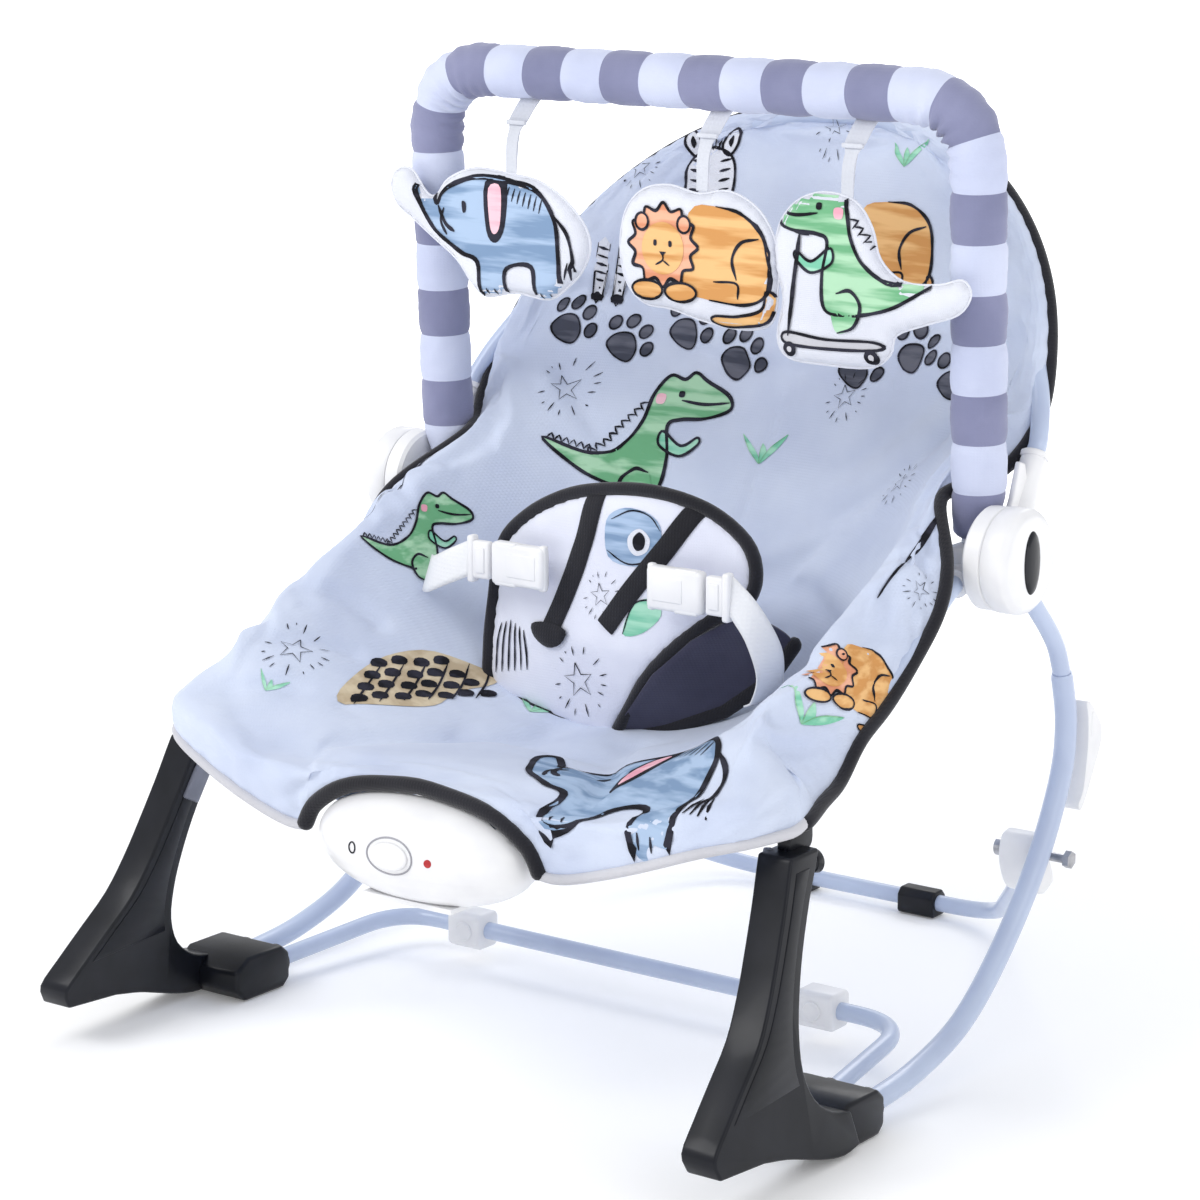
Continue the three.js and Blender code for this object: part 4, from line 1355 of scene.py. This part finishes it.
def draw_lion(p):
    body = [(-10, 44), (28, 54), (62, 48), (90, 26), (100, -6), (98, -44), (70, -58), (20, -56), (-20, -40)]
    p.fill("orange", body)
    p.stroke(body[1:8], 5)
    p.stroke([(58, -30), (52, -6), (64, 14), (88, 20)], 5)
    p.stroke([(26, -34), (58, -34), (60, -52)], 4)
    tail = [(98, -40), (92, -62), (60, -72), (28, -74), (22, -80), (36, -86), (62, -84), (96, -76), (106, -50)]
    p.fill("orange", tail)
    p.stroke(tail, 4, closed=True)
    mane = []
    for k in range(12):
        t = 2 * math.pi * k / 12
        mane.append((-46 + 50 * math.cos(t), 4 + 50 * math.sin(t)))
        t += math.pi / 12
        mane.append((-46 + 41 * math.cos(t), 4 + 41 * math.sin(t)))
    p.fill("mane", mane, 0.0006)
    p.stroke(mane, 5, closed=True, lift=0.0009)
    p.fill("orange", circle(-46, 0, 30, 31, 12), 0.0009)
    for side in (-1, 1):
        ear = [(-46 + side * x, y) for x, y in circle(30, 30, 9, 10, 8)]
        p.fill("mane", ear, 0.001)
        p.stroke(ear, 4, closed=True, lift=0.0012)
        p.fill("ink", [(-46 + side * 11 + dx, 6 + dy) for dx, dy in ((-2, 3), (2, 3), (2, -3), (-2, -3))], 0.0012)
    p.stroke([(-46, -6), (-46, -14), (-56, -20)], 3, lift=0.0012)
    p.stroke([(-46, -14), (-36, -20)], 3, lift=0.0012, per=3)
    p.fill("ink", [(-51, -4), (-41, -4), (-46, -10)], 0.0012, per=0)
    for side in (-1, 1):
        paw = circle(-44 + side * 24, -50, 22, 11, 10)
        p.fill("orange", paw, 0.001)
        p.stroke(paw, 4, closed=True, lift=0.0013)


def draw_crocodile(p):
    body = [(-88, 62), (-60, 78), (-44, 88), (-32, 80), (-14, 84), (2, 62), (10, 30), (26, 4), (60, -14), (112, -6),
            (70, -34), (36, -46), (6, -50), (-22, -46), (-26, -10), (-20, 26), (-34, 34), (-64, 36), (-92, 46)]
    p.fill("green", body)
    p.stroke(body, 5, closed=True)
    p.stroke([(-90, 54), (-60, 52), (-32, 56)], 4)
    for k in range(9):
        t = k / 8
        p.stroke([(6 + 48 * t, 52 - 62 * t), (16 + 48 * t, 50 - 58 * t), (11 + 50 * t, 42 - 58 * t)], 2.6, per=2)
    for k in range(6):
        p.stroke([(60 + 8 * k, -12 + k), (64 + 8 * k, -4 + k), (68 + 8 * k, -11 + k)], 2.4, per=2)
    p.fill("pink", [(-12, 62), (-2, 62), (-2, 52), (-11, 52)], 0.0007)
    p.fill("ink", [(-34, 66), (-28, 66), (-28, 60), (-34, 60)], 0.0008)
    p.fill("pale_green", [(-16, 20), (-40, 4), (-58, 14), (-60, 6), (-40, -8), (-14, 4)], 0.0006)
    p.stroke([(-16, 20), (-40, 4), (-58, 14), (-60, 6), (-40, -8), (-14, 4)], 4, closed=True, lift=0.0009)
    p.fill("green", [(-8, -28), (10, -24), (22, -40), (14, -62), (-6, -70), (-14, -50)], 0.0007)
    p.stroke([(-8, -28), (10, -24), (22, -40), (14, -62), (-6, -70)], 5, lift=0.0009)


def draw_scooter(p):
    p.stroke([(-54, 34), (-60, -10), (-68, -78)], 6, lift=0.0009)
    p.stroke([(-66, 36), (-42, 32)], 5, lift=0.001, per=3)
    deck = [(-70, -74), (-20, -78), (40, -76), (44, -84), (-20, -88), (-70, -86)]
    p.fill("lining", deck, 0.0006, per=2)
    p.stroke(deck, 4, closed=True, lift=0.0009)
    for x in (-66, 36):
        p.fill("ink", circle(x, -92, 8, 8, 10), 0.001)
        p.fill("lining", circle(x, -92, 3, 3, 8), 0.0012)


def draw_star(p):
    points = []
    for k in range(10):
        r = 44 if k % 2 == 0 else 18
        t = math.pi / 2 + math.pi * k / 5 + 0.2
        points.append((r * math.cos(t), r * math.sin(t)))
    p.stroke(points + points[:1], 3.4, per=1, taper=False)
    for k in range(15):
        t = 2 * math.pi * k / 15 + 0.1 * math.sin(k * 5)
        r0, r1 = 66 + 8 * math.sin(k * 3), 82 + 10 * math.sin(k * 7)
        p.stroke([(r0 * math.cos(t), r0 * math.sin(t)), (r1 * math.cos(t), r1 * math.sin(t))], 4.5, per=2)


def draw_sprig(p):
    for tip, bend in (((-70, 60), -30), ((4, 30), 8), ((96, 56), 40)):
        base = (0, -40)
        side = 10
        leaf = [base, (bend - side, tip[1] * 0.2 - 6), tip, (bend + side + 6, tip[1] * 0.2 - 12)]
        p.fill("pale_green", leaf, 0.0004, per=5)
        p.stroke([base, (bend - side, tip[1] * 0.2 - 6), tip], 3, key="green")


def draw_paw(p):
    pad = [(-34, -30), (-30, 2), (0, 22), (30, 2), (34, -30), (0, -40)]
    p.fill("slate", pad)
    p.stroke(pad, 5, closed=True)
    for x, y in ((-50, 18), (-20, 46), (20, 46), (50, 18)):
        toe = circle(x, y, 13, 17, 8)
        p.fill("slate", toe)
        p.stroke(toe, 5, closed=True)


def draw_patches(p):
    """Giraffe-like coat: pale sand ground with dark long patches."""
    p.fill("sand", [(-100, -26), (-70, 6), (-20, 34), (40, 40), (96, 8), (88, -10), (40, -20), (0, -44), (-50, -40)])
    for row in range(4):
        for k in range(7 - row):
            x, y = -78 + k * 25 + row * 15, -26 + row * 17 + (k % 2) * 3
            if x > 78 - row * 6:
                continue
            patch = [(x - 9, y - 4), (x - 5, y + 5), (x + 5, y + 6), (x + 11, y + 1), (x + 6, y - 6)]
            p.fill("ink", patch, 0.0007, per=2)
    for k in range(6):
        p.stroke([(-86 + k * 28, -34), (-60 + k * 28, -8), (-30 + k * 26, 22)], 3.2, lift=0.0009)


def draw_zebra(p):
    head = [(-36, -50), (-40, -4), (-30, 22), (0, 34), (30, 24), (42, -4), (36, -46), (0, -58)]
    p.fill("plush", head)
    p.stroke(head, 5, closed=True)
    for side in (-1, 1):
        ear = [(side * 30, 22), (side * 44, 40), (side * 42, 62), (side * 26, 54), (side * 18, 32)]
        p.fill("plush", ear)
        p.stroke(ear, 5, closed=True)
        p.fill("ink", [(side * 32, 34), (side * 36, 44), (side * 34, 52), (side * 28, 42)], 0.0007)
    for k in range(4):
        y = 16 - k * 15
        p.stroke([(-34, y), (-16, y - 4)], 6, per=3)
        p.stroke([(34, y), (16, y - 4)], 6, per=3)
    for x in (-8, 2, 12):
        p.stroke([(x, 30), (x + 2, 48)], 7, per=2)
    p.stroke([(-12, -40), (0, -46), (12, -40)], 5)


# ------------------------------------------------------------------ hanging toys
TOYS = {
    "elephant": dict(strap="right", x=-122, centre=(-133, 477), size=61, flip=False, slot="plush_blue",
                     outline=((-219, 500), (-214, 510), (-202, 511), (-190, 497), (-182, 496), (-172, 507), (-150, 515),
                              (-122, 513), (-100, 510), (-80, 500), (-64, 484), (-60, 470), (-66, 456), (-76, 446),
                              (-92, 436), (-118, 438), (-142, 434), (-154, 442), (-166, 456), (-184, 468), (-202, 480),
                              (-214, 488))),
    "lion": dict(strap="middle", x=24, centre=(24, 476), size=52, flip=False, slot="plush_tan",
                 outline=((-33, 496), (-20, 510), (0, 514), (22, 510), (44, 513), (66, 503), (79, 482), (80, 456),
                          (76, 436), (58, 430), (30, 432), (2, 438), (-18, 440), (-32, 452), (-37, 474))),
    "crocodile": dict(strap="left", x=128, centre=(130, 474), size=56, flip=False, slot="plush_green",
                      outline=((80, 494), (92, 510), (112, 517), (134, 513), (146, 498), (152, 480), (168, 468),
                               (192, 468), (208, 472), (214, 464), (206, 452), (184, 444), (164, 436), (160, 424),
                               (146, 415), (112, 414), (88, 416), (80, 428), (84, 452), (78, 472))),
}
DRAW = {"elephant": draw_elephant, "lion": draw_lion, "crocodile": draw_crocodile}


def toy_plane(a, b, h):
    return mm(a, TOY_Y - h, b)


def toy_strap(name, x, top):
    """A ribbon looped over the bar: a sleeve-width hem above, then two thin layers down to the toy."""
    verts, faces = [], []
    rows = 26
    for layer, gap in ((0, -0.55), (1, 0.55)):
        for i in range(rows + 1):
            t = i / rows
            z = TAPE_TOP + (top - TAPE_TOP) * t
            half = 7.6 - 3.0 * max(0, min(1, (t - 0.3) * 9)) - 0.5 * t
            y = TOY_Y + (BAR_Y - TOY_Y) * (1 - t) ** 3 + gap + 0.5 * math.sin(t * 9 + layer)
            for k in range(7):
                u = k / 3 - 1
                verts.append(mm(x + half * u, y + 0.5 * math.cos(u * 1.5), z))
    per = (rows + 1) * 7
    for layer in (0, 1):
        for i in range(rows):
            for k in range(6):
                a = layer * per + i * 7 + k
                faces.append((a, a + 1, a + 8, a + 7))
    for i in range(rows):
        for k in (0, 6):
            a = i * 7 + k
            faces.append((a, a + 7, per + a + 7, per + a))
    for i in (0, rows):
        for k in range(6):
            a = i * 7 + k
            faces.append((a, a + 1, per + a + 1, per + a))
    ribbon = mesh_piece(f"{name}_ribbon", verts, faces, "tape")
    hem = block(f"{name}_hem", mm(x, TOY_Y + 5.6, 545), (15, 2.4, 3), "tape", 0.8)
    return join([ribbon, hem], name)


for kind, toy in TOYS.items():
    node = f"toy_strap_{toy['strap']}"
    outline = smooth_outline(toy["outline"], 4)
    plush = puffed(f"toy_{kind}_look", outline, toy_plane, 6.4, 11, "plush", 4.0, 0.5, len(kind))
    seam = [mm(a, TOY_Y, b) for a, b in outline]
    stitched = sweep(f"toy_{kind}_seam", seam, 0.0008, "plush", 6, True)
    soft_piece(plush, kind, [f"toy_{kind}"])
    soft_piece(stitched, kind)
    surface = surface_of(plush)
    for side, word in ((-1, "front"), (1, "back")):
        art = Print(surface, mm(toy["centre"][0], TOY_Y, toy["centre"][1]), (0, side, 0), (0, 0, 1), toy["size"],
                    flip=side > 0, reach=0.03)
        DRAW[kind](art)
        if kind == "crocodile":
            draw_scooter(art)
        drawn = art.build(f"toy_{kind}_print_{word}")
        soft_piece(drawn, kind)
    ribbon = toy_strap(f"{node}_look", toy["x"], TAPE_LOW)
    soft_piece(ribbon, kind, [node])

# ------------------------------------------------------------------ harness
PAD = ((-92, 286), (-97, 251), (-99, 219), (-94, 195), (-60, 187), (-15, 176), (-3, 176), (12, 198), (27, 221),
       (48, 243), (70, 261), (90, 272), (96, 290), (88, 310), (62, 327), (25, 334), (-13, 331), (-43, 323),
       (-72, 307))


def pad_place(a, b, h):
    """The pad bows forward between its edges and leans back a little towards its top."""
    bow = 12 * (1 - ((a + 2) / 100) ** 2) * max(0, min(1, (b - 176) / 60))
    return mm(a, HARNESS_Y - bow + 0.10 * (b - HARNESS_Z) - h, b)


pad_outline = smooth_outline(PAD, 4)
crotch = puffed("crotch_pad_look", pad_outline, pad_place, 4.6, 12, "panel", 4.0, 0.9, 2.0)
soft_piece(crotch, "harness", ["crotch_pad"])
pad_surface = surface_of(crotch)


def pad_front(a, b, lift):
    start = mm(a, HARNESS_Y - 80, b)
    hit, _, _, _ = pad_surface.ray_cast(start, Vector((0, 1, 0)), 0.3)
    return (hit if hit is not None else pad_place(a, b, 0)) + Vector((0, -lift / 1000, 0))


def band(name, surface_point, points, width, thick, material, per=8):
    """A flat band laid along points (a, b) of a surface; surface_point(a, b, lift) gives the place."""
    line = curve_points([(a, b, 0) for a, b in points], per)
    verts, faces = [], []
    n = len(line)
    profile = ((-1, 0), (-1, 0.7), (-0.86, 1), (-0.3, 1.12), (0.3, 1.12), (0.86, 1), (1, 0.7), (1, 0))
    for i, p in enumerate(line):
        d = line[min(i + 1, n - 1)] - line[max(i - 1, 0)]
        side = Vector((-d.y, d.x, 0)).normalized()
        half = (width(i / (n - 1)) if callable(width) else width) / 2
        for u, lift in profile:
            q = p + side * (u * half)
            verts.append(surface_point(q.x, q.y, lift * thick))
    m = len(profile)
    for i in range(n - 1):
        for k in range(m - 1):
            a = i * m + k
            faces.append((a, a + 1, a + m + 1, a + m))
    for i in range(n - 1):
        faces.append((i * m, (i + 1) * m, (i + 1) * m + m - 1, i * m + m - 1))
    faces.append(tuple(range(m)))
    faces.append(tuple((n - 1) * m + k for k in reversed(range(m))))
    return mesh_piece(name, verts, faces, material)


binding_line = [pad_place(a, b, 0) for a, b in pad_outline]
binding_line = evenly(binding_line + [binding_line[0].copy()], PIPING_STEP)[0][:-1]
binding = sweep("crotch_binding", binding_line, 0.0062, "piping", 12, True, flat=0.72)
soft_piece(binding, "harness")
bands = [band("crotch_band_a", pad_front, ((-14, 331), (-21, 300), (-32, 268), (-45, 240)), 13.5, 1.5, "piping"),
         band("crotch_band_b", pad_front, ((58, 328), (40, 303), (17, 274), (-1, 249)), 13.5, 1.5, "piping")]
tab = [(-59, 243), (-46, 246), (-30, 243), (-34, 234), (-45, 230), (-56, 235)]
bands.append(puffed("crotch_tab", smooth_outline(tab, 3),
                    lambda a, b, h: pad_front(a, b, 2.2) - Vector((0, h / 1000, 0)), 1.4, 3, "piping", 2.5))
soft_piece(join(bands, "crotch_bands"), "harness")

def draw_head(p):
    """An animal's round head, blue with one large eye."""
    p.fill("blue", [(-80, 40), (-30, 74), (40, 66), (74, 30), (60, -40), (0, -60), (-70, -44)])
    p.stroke([(-74, -30), (-10, -56), (58, -40)], 5)
    p.stroke([(-66, 44), (-10, 70), (40, 62), (72, 30)], 4)
    p.fill("plush", [(-14, 10), (14, 30), (44, 10), (40, -20), (10, -34), (-12, -18)], 0.0007)
    p.fill("ink", [(0, 8), (16, 22), (32, 8), (30, -14), (12, -22), (0, -10)], 0.0009)


def draw_stripes(p):
    for k in range(6):
        p.stroke([(-28 + k * 13, 66 - abs(k - 2) * 5), (-40 + k * 17, 10), (-42 + k * 18, -52 + k * 4)], 6)


def draw_leaf(p):
    p.fill("pale_green", [(-50, -40), (-20, 40), (40, 60), (60, 20), (10, -30)])
    p.stroke([(-50, -40), (-20, 40), (40, 60)], 5)


for name, draw, x, z, size in (("star", draw_star, -22, 212, 26), ("star_small", draw_star, -6, 268, 17),
                               ("head", draw_head, 16, 304, 26), ("stripes", draw_stripes, -78, 222, 30),
                               ("leaf", draw_leaf, 24, 256, 24)):
    art = Print(pad_surface, mm(x, HARNESS_Y, z), (0, -1, 0), (0, 0, 1), size, reach=0.1)
    draw(art)
    soft_piece(art.build(f"crotch_print_{name}"), "harness")


def tail_point(s, t):
    """The pad's lined tail: s from its front edge to its rear edge, t up the edge."""
    front_edge = ((-3, 176, -78), (14, 198, -82), (34, 224, -84), (60, 248, -80), (92, 268, -70))
    rear_edge = ((4, 178, -74), (34, 186, -64), (66, 200, -52), (94, 222, -44), (108, 244, -40))

    def along(line, t):
        u = t * (len(line) - 1)
        i = min(int(u), len(line) - 2)
        return Vector(line[i]) * (1 - (u - i)) + Vector(line[i + 1]) * (u - i)
    a, b = along(front_edge, t), along(rear_edge, t)
    p = a * (1 - s) + b * s
    sag = math.sin(math.pi * s) * 9 * t
    return mm(p.x + sag * 0.4, p.z + sag, p.y - sag * 0.3)


def sheet_mesh(name, point, nu, nv, thick, material):
    """A thin closed sheet over point(u, v)."""
    grid = np.array([[tuple(point(i / nu, j / nv)) for j in range(nv + 1)] for i in range(nu + 1)])
    du = np.gradient(grid, axis=0)
    dv = np.gradient(grid, axis=1)
    normal = np.cross(du, dv)
    normal /= np.linalg.norm(normal, axis=2, keepdims=True) + 1e-12
    top = (grid + normal * thick / 2000).reshape(-1, 3)
    low = (grid - normal * thick / 2000).reshape(-1, 3)
    n = len(top)
    w = nv + 1
    faces = []
    for i in range(nu):
        for j in range(nv):
            a = i * w + j
            faces.append((a, a + w, a + w + 1, a + 1))
            faces.append((n + a, n + a + 1, n + a + w + 1, n + a + w))
    loop = [i * w for i in range(nu)] + [nu * w + j for j in range(nv)] + [(nu - i) * w + nv for i in range(nu)]
    loop += [nv - j for j in range(nv)]
    for a, b in zip(loop, loop[1:] + loop[:1]):
        faces.append((a, b, n + b, n + a))
    return mesh_piece(name, list(top) + list(low), faces, material)


tail = sheet_mesh("crotch_tail", tail_point, 10, 24, 2.4, "under")
soft_piece(tail, "harness")
rear = evenly([tail_point(1, t / 24) for t in range(25)], PIPING_STEP)[0]
tail_binding = sweep("crotch_tail_binding", rear, 0.006, "piping", 12, flat=0.7, round_ends=True)
soft_piece(tail_binding, "harness")


# ------------------------------------------------------------------ buckles and webbing
def buckle(name):
    """A side-release buckle's socket: rounded shell, two side openings and a webbing bar."""
    shell = block(f"{name}_shell", mm(59, BUCKLE_Y, BUCKLE_Z), (40, 9.5, 27), "white", 3)
    parts = [shell, block(f"{name}_ridge", mm(55, BUCKLE_Y - 4.6, BUCKLE_Z), (22, 1.6, 15), "white", 0.7)]
    for dz in (-11.5, 11.5):
        parts.append(block(f"{name}_spring", mm(68, BUCKLE_Y - 1, BUCKLE_Z + dz), (17, 7, 5), "white", 1.6))
    parts.append(block(f"{name}_bar", mm(41, BUCKLE_Y, BUCKLE_Z), (5, 5, 29), "white", 1.6))
    return join(parts, name)


on_both_sides(buckle, "buckle", "harness", "buckle")


def tongue(name):
    parts = [block(f"{name}_plate", mm(88, BUCKLE_Y, BUCKLE_Z), (13, 6.5, 24), "white", 1.8)]
    parts.append(block(f"{name}_rail", mm(96, BUCKLE_Y, BUCKLE_Z), (5, 7.5, 30), "white", 1.8))
    parts.append(block(f"{name}_grip", mm(88, BUCKLE_Y - 3.6, BUCKLE_Z), (7, 1.2, 16), "white", 0.5))
    return join(parts, name)


on_both_sides(tongue, "buckle_tongue", "waist_strap_end_left", "buckle_tongue",
              body_right="waist_strap_end_right")


def ribbon(name, line, across, width, thick=1.3, material="web"):
    """Flat webbing along 3D points; across gives the width direction at each end."""
    line = curve_points([mm(*p) for p in line], 8)
    a0, a1 = (Vector(a).normalized() for a in across)
    count = len(line) - 1

    def point(u, v):
        i = round(u * count)
        turn = (a0 * (1 - u) + a1 * u).normalized()
        return line[i] + turn * ((v - 0.5) * width / 1000)
    return sheet_mesh(name, point, count, 6, thick, material)


def strap_between(name, line, across, width, node):
    """Webbing from a buckle's tongue towards a slit in the cover; it comes away with the tongue."""
    piece = ribbon(name, line, across, width)
    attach(piece, node.replace("waist_strap", "waist_strap_end"))
    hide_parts(node)
    return piece


WAIST_LEFT = ((98, -94, 284), (112, -92, 268), (119, -84, 244), (110, -72, 222), (98, -60, 212))
WAIST_RIGHT = ((-98, -94, 282), (-116, -94, 274), (-134, -88, 266), (-150, -72, 262))
strap_between("waist_strap_left_look", WAIST_LEFT, ((0, 0.1, 1), (0.5, 0.8, 0.2)), 24, "waist_strap_left")
strap_between("waist_strap_right_look", WAIST_RIGHT, ((0.1, 0, 1), (0.2, 0.2, 1)), 24, "waist_strap_right")


# ------------------------------------------------------------------ prints on the cover
cover_surface = surface_of(cover)


def cover_print(name, draw, centre, up, size, flip=False, reach=0.03, facing=None):
    place, normal, _, _ = cover_surface.find_nearest(mm(*centre))
    art = Print(cover_surface, place, facing or normal, up, size, flip, reach)
    draw(art)
    piece = art.build(f"print_{name}")
    on_cover(piece)


def draw_legs(p):
    """Two striped legs."""
    for x in (-34, 30):
        leg = [(x - 18, 90), (x - 15, -70), (x + 15, -70), (x + 18, 90)]
        p.fill("plush", leg, per=2)
        p.stroke(leg, 7, per=2)
        for k in range(6):
            p.stroke([(x - 16, 78 - k * 24), (x + 16, 72 - k * 24)], 11, per=2)
        p.fill("ink", [(x - 17, -60), (x - 17, -82), (x + 17, -82), (x + 17, -60)], 0.0008, per=2)


def draw_slit(p):
    """A harness slit's dark lips along the side wall's ridge."""
    p.fill("ink", [(0, -70), (9, -20), (7, 40), (0, 78), (-3, 30), (-2, -20)], 0.0006)
    p.stroke([(0, -70), (-6, -120), (-4, -170)], 5)


def draw_low_strap(p):
    p.fill("plush", [(-100, -22), (-96, 22), (100, 18), (100, -18)], 0.0012, per=2)
    p.stroke([(-98, -22), (100, -18)], 3, key="lining", lift=0.0014, per=2)


BACK_UP = (-0.1, 0.4, 0.9)
cover_print("slit_left", draw_slit, (189, -30, 316), (0, 0.85, 0.5), 34)
cover_print("slit_right", draw_slit, (-189, -30, 316), (0, 0.85, 0.5), 34, flip=True)
cover_print("low_strap_right", draw_low_strap, (-146, -30, 212), (0.3, 0.2, 0.9), 24)
cover_print("low_strap_left", draw_low_strap, (98, -30, 196), (0, 0.5, 0.9), 30)
cover_print("elephant", draw_elephant, (102, -208, 190), (0, 1, 0.3), 84, reach=0.07, facing=(0, -0.5, 0.86))
cover_print("giraffe_coat", draw_patches, (-118, -129, 202), (-0.79, 0.36, 0.49), 62, reach=0.05)
cover_print("crocodile_wall", draw_crocodile, (-170, -58, 275), (-0.3, 0.35, 0.88), 40, flip=True, reach=0.05)
cover_print("crocodile_back", draw_crocodile, (-84, 78, 326), BACK_UP, 60, flip=True, reach=0.06)
cover_print("zebra_head", draw_zebra, (-85, 154, 502), BACK_UP, 44)
cover_print("zebra_legs", draw_legs, (-142, 117, 433), BACK_UP, 22)
cover_print("lion_back", draw_lion, (42, 146, 460), BACK_UP, 54, reach=0.05)
cover_print("lion_wall", draw_lion, (203, -130, 257), (-0.26, 0.45, 0.85), 36, reach=0.05)
PAWS = ((-160, 98, 400), (-120, 108, 388), (-78, 116, 402), (-36, 120, 388), (14, 121, 402), (56, 118, 388),
        (98, 112, 402), (138, 102, 388))
STARS = (((-166, -185, 227), 25), ((-151, 73, 358), 24), ((53, 107, 369), 19), ((204, -57, 294), 14),
         ((-136, 141, 502), 17), ((112, 140, 500), 17), ((120, 60, 330), 18), ((0, 166, 540), 17))
SPRIGS = (((-158, 22, 323), 17), ((-3, 91, 330), 20), ((62, -28, 193), 24), ((200, -168, 243), 23),
          ((-167, -208, 212), 12), ((-60, -80, 182), 20), ((60, 160, 520), 18))
for i, centre in enumerate(PAWS):
    cover_print(f"paw_{i}", draw_paw, centre, (0.5, 0.35, 0.8), 30)
for word, draw, prints, seat_up in (("star", draw_star, STARS, (-0.1, 0.9, 0.4)),
                                    ("sprig", draw_sprig, SPRIGS, (-0.1, 0.8, 0.6))):
    for i, (centre, size) in enumerate(prints):
        cover_print(f"{word}_{i}", draw, centre, BACK_UP if centre[1] > 0 else seat_up, size)


# ------------------------------------------------------------------ camera, light and floor
def add_light(name, place, target, size, power, colour=(1, 1, 1)):
    data = bpy.data.lights.new(name, "AREA")
    data.shape = "RECTANGLE"
    data.size, data.size_y = size
    data.energy = power
    data.color = colour
    lamp = new_object(name, data)
    lamp.location = place
    lamp.rotation_mode = "QUATERNION"
    lamp.rotation_quaternion = (Vector(target) - Vector(place)).to_track_quat("-Z", "Y")


def stage_floor():
    verts = [(x * FLOOR_HALF, y * FLOOR_HALF, 0) for x, y in ((-1, -1), (1, -1), (1, 1), (-1, 1))]
    floor = mesh_piece("floor", verts, [(0, 1, 2, 3)], [], False)
    material, nodes, links, shader = node_tree("studio_floor")
    shader.inputs["Base Color"].default_value = (0.95, 0.95, 0.955, 1)
    shader.inputs["Roughness"].default_value = 0.9
    shader.inputs["Emission Color"].default_value = (1, 1, 1, 1)
    # painted light: the floor glows, more strongly away from the object, so the sweep brightens like a lit studio
    # background
    place = nodes.new("ShaderNodeTexCoord")
    length = nodes.new("ShaderNodeVectorMath")
    length.operation = "LENGTH"
    fade = nodes.new("ShaderNodeMapRange")
    fade.inputs["From Min"].default_value = 0.55
    fade.inputs["From Max"].default_value = 2.2
    fade.inputs["To Min"].default_value = 0.12
    fade.inputs["To Max"].default_value = 1.0
    links.new(place.outputs["Object"], length.inputs[0])
    links.new(length.outputs["Value"], fade.inputs["Value"])
    links.new(fade.outputs["Result"], shader.inputs["Emission Strength"])
    floor.data.materials.append(material)
    floor.location.z = -0.0006


camera_data = bpy.data.cameras.new("camera")
camera_data.lens = 111
camera_data.sensor_width = 36
camera = new_object("camera", camera_data)
camera.location = (1.29772, -1.81499, 0.76349)
camera.rotation_mode = "QUATERNION"
camera.rotation_quaternion = (Vector((0, -0.03667, 0.26737)) - camera.location).to_track_quat("-Z", "Y")
bpy.context.scene.camera = camera

stage_floor()
world = bpy.data.worlds.new("studio")
world.use_nodes = True
world.node_tree.nodes["Background"].inputs["Color"].default_value = (0.97, 0.98, 1, 1)
world.node_tree.nodes["Background"].inputs["Strength"].default_value = 0.78
bpy.context.scene.world = world
bpy.context.scene.view_settings.view_transform = "Standard"
add_light("key", (-1.2, -1.8, 2.2), (0, 0, 0.3), (1.6, 1.2), 30)
add_light("fill", (2.2, -0.6, 1.4), (0, 0, 0.3), (1.4, 1.4), 7)
add_light("rim", (-0.6, 2.0, 1.8), (0, 0, 0.3), (1.6, 0.8), 14)
